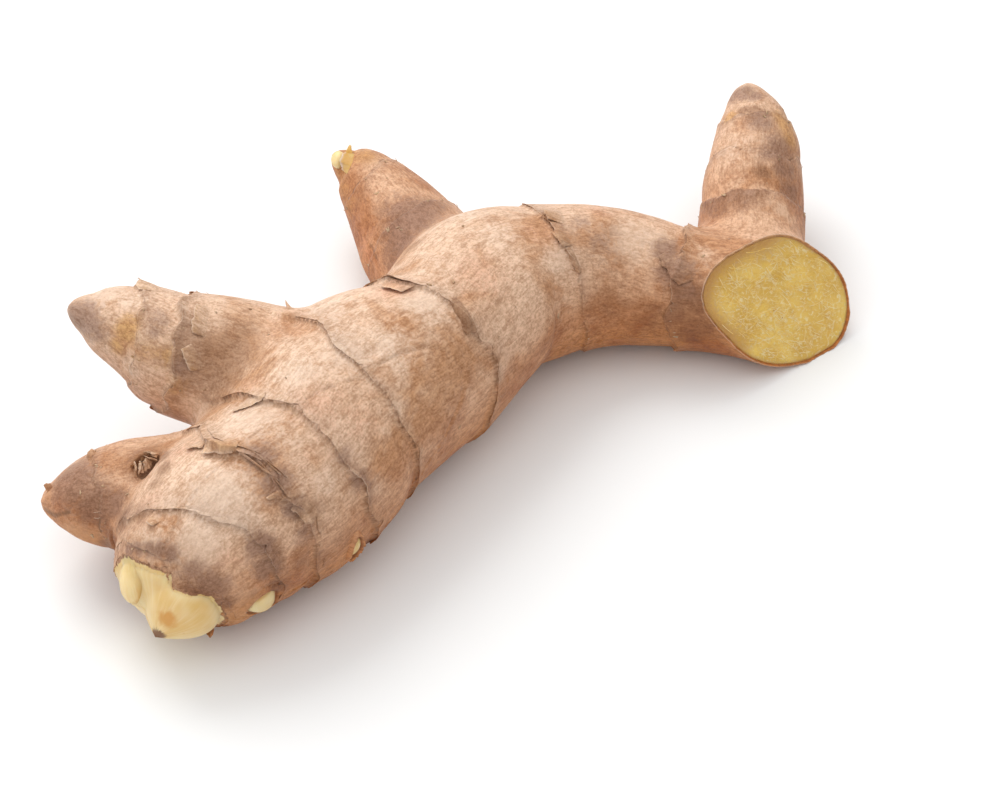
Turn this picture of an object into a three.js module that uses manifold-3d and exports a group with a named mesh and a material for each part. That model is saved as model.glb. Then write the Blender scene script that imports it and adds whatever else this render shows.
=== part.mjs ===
// A fresh ginger rhizome (a "hand" of ginger): one bent main root, cut off at its older end, with
// four side fingers, the torn edges of its leaf scales, a bare shoot bud at its growing end and a
// few papery flaps. It grew as one piece, so it is one closed solid. Millimetres, +Z up.
//
// Each limb is a closed tube round a curved axis. The rows of its mesh follow the scale edges, so
// that every edge is a sharp step. The tubes and buds are joined into one solid, which the knife
// plane cuts and the table plane flattens at the three places that it rests on.
import * as THREE from "three";
import { mergeVertices } from "three/addons/utils/BufferGeometryUtils.js";
import Module from "manifold-3d";

// ---------------------------------------------------------------- driving dimensions
const ROW_STEP = 2.9; // spacing of mesh rows along a limb
const SWELL = 3.2; // length over which a scale rises towards its edge
const STEP = 0.45; // length of the drop at a scale's edge
const BULGE = 0.035; // how far the skin between two scale edges bulges, as a share of the radius
const CAP_ROWS = 3; // rows of the rounded end of a limb
const RAGGED = [0.5, 0.35, 0.25]; // how far a scale's edge waves, for each count of waves below
const EDGE_WAVES = [3, 7, 12]; // waves of the edge round the limb
const LUMPS = [0.025, 0.02]; // height of the two kinds of long lump, as a share of the radius
const LUMP_TURNS = [9, 6]; // mm along a limb in which a lump turns by one radian
const AXIS_POINTS = 12; // of a limb's axis between two stations
const BUD_SIDES = 14;
const BUD_ROWS = 5; // of each half of a bud
const SCAR_SIDES = 16;
const SCAR_ROWS = 10;
const WELD = 1e-4; // points nearer than this are one point
const KNIFE_POINT = new THREE.Vector3(51.6, 24.4, 12); // on the main axis
const KNIFE_NORMAL = new THREE.Vector3(0.524, -0.682, 0.512);
const KNIFE_BLOCK = 60; // side of the block past the knife, which stays clear of the other limbs
const TABLE_BLOCK = 300; // side of the block under the table plane

// A limb's stations run from its older end to its growing tip, each [x, y, z, radius].
// Its rounded end is "tip" times as long as the last radius.
// A scale edge lies "at" mm along the axis. It leans by "lean" mm towards the angle "side" (degrees
// round the axis: 0 is its right side as it grows, 90 the top). "lip" is the step's height.
// A flap is where the edge runs on and lifts: [angle, half width in degrees, reach, rise].
const [FLAP_ANGLE, FLAP_WIDTH, REACH, RISE] = [0, 1, 2, 3];
const LIMBS = {
  main: {
    sides: 40,
    stations: [
      [70, 18.3, 11.2, 11.4],
      [46.9, 26.1, 11.1, 11.3],
      [33.6, 27.8, 11.8, 11.3],
      [19.6, 29.2, 13.3, 12.3],
      [7.4, 26.3, 15, 14],
      [-2.7, 20.1, 16.6, 15.6],
      [-12.4, 4.8, 17.4, 16],
      [-22.4, -5.6, 18.6, 17.1],
      [-30.1, -14.5, 18.2, 17.4],
      [-36.8, -24.7, 16.7, 17],
      [-45.1, -33, 15.7, 16.3],
      [-49.6, -38.3, 14.8, 14.7],
      [-53.5, -43.2, 13.8, 12.5],
      [-55.5, -46.2, 13, 9.9],
      [-56.7, -48.8, 12.2, 7.2],
    ],
    tip: 0.4,
    rings: [
      { at: 37.5, lean: 2, side: 128, lip: 0.8 },
      { at: 61, lean: 4.5, side: 71, lip: 0.6 },
      { at: 97.7, lean: 1.8, side: -14, lip: 0.8, flaps: [[70, 12, 2.2, 0.9], [122, 9, 1.2, 1]] },
      { at: 116, lean: 2.4, side: 180, lip: 0.8, flaps: [[42, 8, 2, 1.2]] },
      { at: 131.5, lean: 0.5, side: -118, lip: 1 },
      { at: 142, lean: 1.2, side: 20, lip: 0.8, flaps: [[85, 13, 2, 1.1], [131, 9, 1.8, 0.7]] },
      { at: 155.2, lean: 5, side: 5, lip: 0.6 },
      { at: 162.6, lean: 1.8, side: -35, lip: 0.9 },
    ],
  },
  left: {
    sides: 26,
    stations: [
      [-37.9, -4.8, 19, 12.7],
      [-47.6, -2.8, 22, 11.6],
      [-56.3, -1.5, 24.5, 10.6],
      [-63.5, 0.9, 27, 8.3],
      [-69.5, 1.9, 29, 6],
      [-72.6, 2.4, 30, 3.7],
    ],
    tip: 0.9,
    rings: [
      { at: 20.6, lean: 1.8, side: 0, lip: 0.8, flaps: [[85, 16, 1.6, 0.8]] },
      { at: 27, lean: 2.8, side: 30, lip: 0.5, flaps: [[55, 13, 1.2, 0.7]] },
    ],
  },
  back: {
    sides: 26,
    stations: [
      [-8.3, 23.3, 13, 10.2],
      [-15.2, 39.8, 10.3, 10.8],
      [-19.9, 47.4, 11.6, 9.2],
      [-24.2, 53.2, 13.6, 7.3],
      [-27.5, 56.2, 15.6, 5.2],
      [-29.7, 57.4, 16.6, 3.1],
    ],
    tip: 1,
    rings: [
      { at: 18.3, lean: 3, side: 0, lip: 0.5 },
      { at: 35, lean: 1.2, side: 60, lip: 0.5 },
    ],
  },
  right: {
    sides: 26,
    stations: [
      [46.4, 24.4, 12, 9.3],
      [47.8, 43.6, 12.5, 9.7],
      [48.4, 52.2, 14.5, 9.3],
      [49.3, 59.5, 17, 8.4],
      [49.1, 66.4, 19.5, 6.5],
      [48.3, 70.6, 21.5, 4.1],
    ],
    tip: 0.8,
    rings: [
      { at: 23.2, lean: 3, side: -90, lip: 0.4 },
      { at: 41.8, lean: 1, side: -110, lip: 0.6 },
    ],
  },
  low: {
    sides: 26,
    stations: [
      [-50.8, -24.5, 16, 7.2],
      [-61.7, -26.1, 14.5, 9.1],
      [-67.7, -26.6, 14, 8.7],
      [-72, -27.2, 14, 7],
      [-75, -27.5, 14, 5.1],
      [-76.9, -27.6, 14, 3.5],
    ],
    tip: 0.6,
    rings: [{ at: 17, lean: 1.5, side: 110, lip: 0.4 }],
  },
};

// Shoot buds: each stands on "from", widest there, and ends at "to". "taper" is 0.5 for a rounded
// end and 1 for a pointed one. "back" is the length of its rounded root, as a share of the radius.
const BUDS = [
  { from: [-53.2, -49.0, 13.0], to: [-57.2, -54.9, 10.8], radius: 6.9, taper: 1, back: 0.8 },
  { from: [-60.0, -47.9, 16.4], to: [-59.6, -51.2, 13.9], radius: 2.9, taper: 0.5, back: 1.5 },
  { from: [-39.6, -46.7, 10.8], to: [-41.9, -48.9, 10.9], radius: 1.5, taper: 0.5, back: 1.6 },
  { from: [-25.0, -36.4, 13.6], to: [-26.0, -36.8, 10.9], radius: 1.4, taper: 0.5, back: 1.8 },
];
// The pit that a fallen side shoot left, in a low mound [half width, height].
const SCAR = { at: [-59.7, -28.8, 24.2], facing: [0.08, -0.38, 0.92], radius: 2.5, mound: [4.2, 1.2] };

const RADIANS = Math.PI / 180;
const UP = new THREE.Vector3(0, 0, 1);

// ---------------------------------------------------------------- a limb's axis
function curveOf(points) {
  return new THREE.CatmullRomCurve3(points, false, "catmullrom", 0.5);
}

// Points along the axis, each with its distance from the older end and its radius.
function axisOf(stations) {
  const line = curveOf(stations.map(([x, y, z]) => new THREE.Vector3(x, y, z)));
  const radii = curveOf(stations.map((s) => new THREE.Vector3(s[3], 0, 0)));
  const count = (stations.length - 1) * AXIS_POINTS;
  const axis = [];
  for (let i = 0; i <= count; i++) {
    const point = line.getPoint(i / count);
    const along = i ? axis[i - 1].along + point.distanceTo(axis[i - 1].point) : 0;
    axis.push({ point, along, radius: radii.getPoint(i / count).x, tangent: line.getTangent(i / count) });
  }
  return axis;
}

// The point, tangent and radius at a place along the axis.
function placeOn(axis, along) {
  const last = axis.length - 2;
  let i = axis.findIndex((a) => a.along > along) - 1;
  if (i < 0) i = along > 0 ? last : 0;
  const [a, b] = [axis[i], axis[i + 1]];
  const share = (along - a.along) / (b.along - a.along);
  return {
    point: a.point.clone().lerp(b.point, share),
    tangent: a.tangent.clone().lerp(b.tangent, share).normalize(),
    radius: a.radius + share * (b.radius - a.radius),
  };
}

// ---------------------------------------------------------------- a limb's surface
// Where a scale's edge lies at an angle round the limb: slanted, waved and a little ragged.
function edgeAt(ring, angle) {
  const { at, lean, side } = ring;
  return (
    at +
    lean * Math.cos(angle - side * RADIANS) +
    RAGGED.reduce((sum, wave, i) => sum + wave * Math.sin(EDGE_WAVES[i] * angle + (2 * i + 1) * at), 0) +
    flapAt(ring, angle, REACH)
  );
}

// How far the flaps of an edge change it at an angle: column REACH or RISE of the flaps' table.
function flapAt({ flaps = [] }, angle, column) {
  return flaps.reduce((sum, flap) => {
    const turn = angle / RADIANS - flap[FLAP_ANGLE];
    const nearest = turn - 360 * Math.round(turn / 360);
    return sum + flap[column] * Math.exp(-((nearest / flap[FLAP_WIDTH]) ** 2));
  }, 0);
}

// The rows of a limb's mesh. Each gives its place along the axis and its lift over the radius,
// both of the angle round the limb.
function rowsOf(rings, length) {
  const marks = [
    { at: 0, edge: () => 0, lift: () => 0 },
    ...rings.map((ring) => ({
      at: ring.at,
      edge: (angle) => edgeAt(ring, angle),
      lift: (angle) => ring.lip + flapAt(ring, angle, RISE),
    })),
    { at: length, edge: () => length, lift: () => 0 },
  ];
  const rows = [];
  for (let m = 1; m < marks.length; m++) {
    const [older, newer] = [marks[m - 1], marks[m]];
    const count = Math.max(2, Math.round((newer.at - older.at) / ROW_STEP));
    for (let i = 0; i <= count; i++)
      rows.push((angle) => {
        const from = older.edge(angle) + (m > 1 ? STEP : 0);
        const to = newer.edge(angle);
        const along = from + (i / count) * (to - from);
        const bulge = BULGE * Math.sin((Math.PI * i) / count);
        return { along, bulge, lift: newer.lift(angle) * Math.exp((along - to) / SWELL) };
      });
  }
  return rows;
}

// Long, shallow lumps, as a share of the radius.
function lumpsAt(along, angle) {
  const twofold = LUMPS[0] * Math.sin(2 * angle + along / LUMP_TURNS[0]);
  return twofold + LUMPS[1] * Math.sin(3 * angle - along / LUMP_TURNS[1]);
}

function tube({ stations, rings, sides, tip }) {
  const axis = axisOf(stations);
  const end = axis.at(-1);
  const angles = Array.from({ length: sides }, (_, k) => (2 * Math.PI * k) / sides);
  const points = [axis[0].point];
  for (const row of rowsOf(rings, end.along))
    for (const angle of angles) {
      const { along, bulge, lift } = row(angle);
      const place = placeOn(axis, along);
      points.push(around(place, angle, place.radius * (1 + bulge + lumpsAt(along, angle)) + lift));
    }
  for (let c = 1; c < CAP_ROWS; c++)
    for (const angle of angles) {
      const inner = 1 - c / CAP_ROWS;
      const rim = around(end, angle, end.radius * (1 + lumpsAt(end.along, angle)) * inner);
      points.push(rim.addScaledVector(end.tangent, tip * end.radius * (1 - inner ** 2)));
    }
  points.push(end.point.clone().addScaledVector(end.tangent, tip * end.radius));
  return fromRows(points, sides);
}

// The point at an angle and a distance round a place on an axis.
function around({ point, tangent }, angle, radius) {
  const rightward = new THREE.Vector3().crossVectors(tangent, UP).normalize();
  const upward = new THREE.Vector3().crossVectors(rightward, tangent);
  return point
    .clone()
    .addScaledVector(rightward, radius * Math.cos(angle))
    .addScaledVector(upward, radius * Math.sin(angle));
}

// A closed mesh of a first pole, rows of "sides" points, and a last pole.
function fromRows(points, sides) {
  const rows = (points.length - 2) / sides;
  const last = points.length - 1;
  const index = [];
  for (let k = 0; k < sides; k++) {
    const next = (k + 1) % sides;
    index.push(0, 1 + k, 1 + next);
    const end = 1 + (rows - 1) * sides;
    index.push(last, end + next, end + k);
    for (let r = 0; r < rows - 1; r++) {
      const [a, b] = [1 + r * sides + k, 1 + r * sides + next];
      const [c, d] = [a + sides, b + sides];
      if (points[a].distanceTo(points[d]) < points[b].distanceTo(points[c])) index.push(a, d, b, a, c, d);
      else index.push(a, c, b, b, c, d);
    }
  }
  const geometry = new THREE.BufferGeometry().setFromPoints(points);
  geometry.setIndex(index);
  return geometry;
}

// ---------------------------------------------------------------- buds and the scar
function bud({ from, to, radius, taper, back }) {
  const [root, end] = [from, to].map((p) => new THREE.Vector3(...p));
  const length = root.distanceTo(end);
  const profile = [new THREE.Vector2(0, -back * radius)];
  for (let i = 1; i < BUD_ROWS; i++) {
    const turn = (Math.PI / 2) * (i / BUD_ROWS);
    profile.push(new THREE.Vector2(radius * Math.sin(turn), -back * radius * Math.cos(turn)));
  }
  for (let i = 0; i < BUD_ROWS; i++) {
    const share = i / BUD_ROWS;
    profile.push(new THREE.Vector2(radius * (1 - share ** 2) ** taper, length * share));
  }
  profile.push(new THREE.Vector2(0, length));
  const geometry = new THREE.LatheGeometry(profile, BUD_SIDES);
  const direction = end.clone().sub(root).normalize();
  geometry.applyQuaternion(new THREE.Quaternion().setFromUnitVectors(new THREE.Vector3(0, 1, 0), direction));
  return geometry.translate(...from);
}

function scarPit({ at, radius }) {
  return new THREE.SphereGeometry(radius, SCAR_SIDES, SCAR_ROWS).translate(...at);
}

function scarMound({ at, facing, mound }) {
  const [width, height] = mound;
  const lens = new THREE.SphereGeometry(width, SCAR_SIDES, SCAR_ROWS).scale(1, 1, height / width);
  const direction = new THREE.Vector3(...facing).normalize();
  lens.applyQuaternion(new THREE.Quaternion().setFromUnitVectors(UP, direction));
  return lens.translate(...new THREE.Vector3(...at).addScaledVector(direction, -height).toArray());
}

// ---------------------------------------------------------------- joining and cutting
const wasm = await Module();
wasm.setup();

function toSolid(source) {
  const geometry = source.clone();
  geometry.deleteAttribute("normal");
  geometry.deleteAttribute("uv");
  const merged = mergeVertices(geometry, WELD);
  return new wasm.Manifold(
    new wasm.Mesh({
      numProp: 3,
      vertProperties: new Float32Array(merged.attributes.position.array),
      triVerts: new Uint32Array(merged.index.array),
    }),
  );
}

function toGeometry(solid) {
  const { vertProperties, triVerts } = solid.getMesh();
  const geometry = new THREE.BufferGeometry();
  geometry.setAttribute("position", new THREE.BufferAttribute(vertProperties, 3));
  geometry.setIndex(new THREE.BufferAttribute(triVerts, 1));
  return geometry;
}

// A block on the far side of a plane.
function blockPast(point, normal, side) {
  const block = new THREE.BoxGeometry(side, side, side).translate(0, 0, side / 2);
  block.applyQuaternion(new THREE.Quaternion().setFromUnitVectors(UP, normal.clone().normalize()));
  return toSolid(block.translate(...point.toArray()));
}

// Stands the solid on z = 0, with the middle of its box over the origin.
function centred(solid) {
  const { min, max } = solid.boundingBox();
  return solid.translate([-(min[0] + max[0]) / 2, -(min[1] + max[1]) / 2, -min[2]]);
}

const grown = [...Object.values(LIMBS).map(tube), ...BUDS.map(bud), scarMound(SCAR)]
  .map(toSolid)
  .reduce((whole, part) => whole.add(part));
const whole = grown
  .subtract(toSolid(scarPit(SCAR)))
  .subtract(blockPast(KNIFE_POINT, KNIFE_NORMAL, KNIFE_BLOCK))
  .subtract(blockPast(new THREE.Vector3(0, 0, 0), new THREE.Vector3(0, 0, -1), TABLE_BLOCK));

const skin = new THREE.MeshStandardMaterial({ color: 0xc9a27c, roughness: 0.7, metalness: 0 });
const rhizome = new THREE.Mesh(toGeometry(centred(whole)), skin);
rhizome.name = "ginger_rhizome";

const ginger = new THREE.Group();
ginger.add(rhizome);
export default ginger;
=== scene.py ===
"""A fresh ginger root: its fine wrinkled skin, the torn papery edges of its leaf scales, its buds,
its sliced end with fibres, and a plain studio stage.

Lengths are millimetres in the root's own frame until a mesh is made, which is in metres.
"""
import math

import bpy
import numpy as np
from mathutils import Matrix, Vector, noise


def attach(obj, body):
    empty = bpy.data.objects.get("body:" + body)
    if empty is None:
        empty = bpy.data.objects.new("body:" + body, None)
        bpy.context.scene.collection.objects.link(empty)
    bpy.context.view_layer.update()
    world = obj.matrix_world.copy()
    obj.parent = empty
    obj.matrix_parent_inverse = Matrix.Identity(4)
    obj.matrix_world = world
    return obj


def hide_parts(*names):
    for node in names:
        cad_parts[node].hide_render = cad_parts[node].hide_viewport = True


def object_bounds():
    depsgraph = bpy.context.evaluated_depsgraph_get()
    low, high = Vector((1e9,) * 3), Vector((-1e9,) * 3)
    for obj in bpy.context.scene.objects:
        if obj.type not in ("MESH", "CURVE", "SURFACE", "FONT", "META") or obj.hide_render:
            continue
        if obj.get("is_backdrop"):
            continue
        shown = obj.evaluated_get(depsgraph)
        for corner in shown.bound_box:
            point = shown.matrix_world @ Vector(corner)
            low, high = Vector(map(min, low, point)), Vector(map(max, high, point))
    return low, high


bl_info = {
    "name": "Ginger root",
    "version": (1, 0, 0),
    "blender": (4, 5, 0),
    "location": "View3D > Sidebar > Ginger",
    "description": "Dresses the solid of a ginger root with its skin, scales, buds and cut end",
    "category": "Object",
}

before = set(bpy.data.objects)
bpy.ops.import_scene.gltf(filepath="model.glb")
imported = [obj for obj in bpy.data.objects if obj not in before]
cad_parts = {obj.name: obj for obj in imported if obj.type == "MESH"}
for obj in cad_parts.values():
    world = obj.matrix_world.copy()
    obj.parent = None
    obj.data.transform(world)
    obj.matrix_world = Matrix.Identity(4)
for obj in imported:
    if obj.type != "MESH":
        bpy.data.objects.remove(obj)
CAD_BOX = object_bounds()
BODY = "root"
NODE = "ginger_rhizome"
MM = 0.001

# ---------------------------------------------------------------- the root's shape
TO_FRAME = np.array([6.575, -9.306, 0.0, 0.0])  # from the stations' own place to the frame
AXIS_POINTS = 24  # of a limb's axis between two stations
SWELL = 3.2  # length over which a scale rises towards its edge
STEP = 0.65  # length of the drop at a scale's edge
BULGE = 0.035  # bulge between two scale edges, as a share of the radius
EDGE_WAVES = (3, 7, 12)  # waves of a scale's ragged edge, round the limb
RAGGED = (0.5, 0.35, 0.25)  # their heights
RAGGED_OUTLINE = 0.08  # share of them on an edge that is given by an outline
LUMPS = (0.025, 0.02)  # how far a limb is out of round, as shares of its radius
LUMP_TURNS = (9, 6)  # way along a limb over which these turn by a radian
AT_ONCE = 20000  # points looked up together
KNIFE_POINT = np.array([51.6, 24.4, 12.0]) + TO_FRAME[:3]
KNIFE_NORMAL = np.array([0.524, -0.682, 0.512]) / np.linalg.norm([0.524, -0.682, 0.512])

# Stations run from the older end to the growing tip, each [x, y, z, radius]. A scale edge lies "at"
# mm along the limb and leans by "lean" mm towards the angle "side", in degrees round the limb: 0 is
# its right side as it grows, 90 the top. "lip" is the step's height. A flap is where the edge runs
# on and lifts: [angle, half width, reach, rise]. A dark place behind the edge: [angle, half width,
# length, strength]. An "outline" gives the edge itself instead: [angle, mm along]. "soft" is how
# wide the rounding is where the limb leaves the root, and "tip" the length of its rounded end, as a
# share of the last radius.
LIMBS = {
    "main": {
        "stations": [
            [70, 18.3, 11.2, 11.4],
            [46.9, 26.1, 11.1, 11.3],
            [33.6, 27.8, 11.8, 11.3],
            [19.6, 29.2, 13.3, 12.3],
            [7.4, 26.3, 15, 14],
            [-2.7, 20.1, 16.6, 15.6],
            [-12.4, 4.8, 17.4, 16],
            [-22.4, -5.6, 18.6, 17.1],
            [-30.1, -14.5, 18.2, 17.4],
            [-36.8, -24.7, 16.7, 17],
            [-45.1, -33, 15.7, 16.3],
            [-49.6, -38.3, 14.8, 14.7],
            [-53.5, -43.2, 13.8, 12.5],
            [-55.5, -46.2, 13, 9.9],
            [-56.7, -48.8, 12.2, 7.2],
        ],
        "tip": 0.4,
        "soft": 3.4,
        "rings": [
            {"at": 37.5, "lean": 2, "side": 128, "lip": 0.8, "dark": [[150, 28, 6, 0.8]]},
            {"at": 61, "lean": 4.5, "side": 71, "lip": 0.6, "dark": [[102, 20, 8, 0.35]]},
            {
                "at": 97.7, "lean": 1.8, "side": -14, "lip": 0.8,
                "flaps": [[70, 12, 2.2, 0.9], [122, 9, 1.2, 1]],
            },
            {"at": 116, "lean": 2.4, "side": 180, "lip": 0.8, "flaps": [[42, 8, 2, 1.2]]},
            {"at": 131.5, "lean": 0.5, "side": -118, "lip": 1, "dark": [[152, 20, 1.8, 0.6]]},
            {
                "at": 142, "lean": 1.2, "side": 20, "lip": 0.8,
                "flaps": [[85, 13, 2, 1.1], [131, 9, 1.8, 0.7]], "dark": [[143, 12, 3.4, 0.8]],
            },
            {"at": 155.2, "lean": 5, "side": 5, "lip": 0.7, "dark": [[154, 17, 3.4, 1]]},
            {
                "at": 162.6, "lip": 0.9, "dark": [[137, 20, 2.8, 0.9]],
                "outline": [
                    [0, 163.6], [28, 163.6], [42, 163.2], [56, 162.9], [68, 163.2], [97, 163.4],
                    [109, 163.2], [119, 164.7], [136, 164.5], [146, 163.2], [156, 161.9], [192, 161.8],
                    [260, 162.8],
                ],
            },
        ],
    },
    "left": {
        "stations": [
            [-37.9, -4.8, 19, 12.7],
            [-47.6, -2.8, 22, 11.6],
            [-56.3, -1.5, 24.5, 10.6],
            [-63.5, 0.9, 27, 8.3],
            [-69.5, 1.9, 29, 6],
            [-72.6, 2.4, 30, 3.7],
        ],
        "tip": 0.9,
        "soft": 4.5,
        "rings": [
            {
                "at": 20.6, "lean": 1.8, "side": 0, "lip": 0.8,
                "flaps": [[85, 16, 1.6, 0.8]], "dark": [[138, 34, 9, 0.75]],
            },
            {
                "at": 27, "lean": 2.8, "side": 30, "lip": 0.5,
                "flaps": [[55, 13, 1.2, 0.7]], "dark": [[112, 14, 5, 0.6]],
            },
        ],
    },
    "back": {
        "stations": [
            [-8.3, 23.3, 13, 10.2],
            [-15.2, 39.8, 10.3, 10.8],
            [-19.9, 47.4, 11.6, 9.2],
            [-24.2, 53.2, 13.6, 7.3],
            [-27.5, 56.2, 15.6, 5.2],
            [-29.7, 57.4, 16.6, 3.1],
        ],
        "tip": 1,
        "soft": 3.8,
        "rings": [
            {"at": 18.3, "lean": 3, "side": 0, "lip": 0.4, "dark": [[106, 34, 7.5, 1]]},
            {"at": 35, "lean": 1.2, "side": 60, "lip": 0.2},
        ],
    },
    "right": {
        "stations": [
            [46.4, 24.4, 12, 9.3],
            [47.8, 43.6, 12.5, 9.7],
            [48.4, 52.2, 14.5, 9.3],
            [49.3, 59.5, 17, 8.4],
            [49.1, 66.4, 19.5, 6.5],
            [48.3, 70.6, 21.5, 4.1],
        ],
        "tip": 0.8,
        "soft": 3.8,
        "rings": [
            {"at": 23.2, "lean": 3, "side": -90, "lip": 0.35, "dark": [[118, 46, 9, 1]]},
            {"at": 33, "lean": 1.5, "side": -60, "lip": 0.25},
            {"at": 41.8, "lean": 1, "side": -110, "lip": 0.45, "dark": [[90, 20, 2.6, 1]]},
        ],
    },
    "low": {
        "stations": [
            [-50.8, -24.5, 16, 7.2],
            [-61.7, -26.1, 14.5, 9.1],
            [-67.7, -26.6, 14, 8.7],
            [-72, -27.2, 14, 7],
            [-75, -27.5, 14, 5.1],
            [-76.9, -27.6, 14, 3.5],
        ],
        "tip": 0.6,
        "soft": 5.5,
        "rings": [{"at": 17, "lean": 1.5, "side": 110, "lip": 0.25}],
    },
}

# Shoot buds: each stands on "root", widest there, and ends at "end". "taper" is 0.5 for a rounded
# end and 1 for a pointed one. "back" is the length of its rounded root, as a share of the radius.
BUDS = {
    "shoot": {
        "root": [-53.2, -49.0, 13.0], "end": [-57.2, -54.9, 10.8],
        "radius": 6.9, "taper": 1, "back": 0.8,
    },
    "side": {
        "root": [-60.0, -47.9, 16.4], "end": [-59.6, -51.2, 13.9],
        "radius": 2.9, "taper": 0.5, "back": 1.5,
    },
    "low_eye": {
        "root": [-39.6, -46.7, 10.8], "end": [-41.9, -48.9, 10.9],
        "radius": 1.5, "taper": 0.5, "back": 1.6,
    },
    "back_eye": {
        "root": [-25.0, -36.4, 13.6], "end": [-26.0, -36.8, 10.9],
        "radius": 1.4, "taper": 0.5, "back": 1.8,
    },
}
SCAR = {"at": np.array([-59.7, -28.8, 24.2]) + TO_FRAME[:3], "facing": [0.08, -0.38, 0.92], "radius": 2.5}

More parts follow.
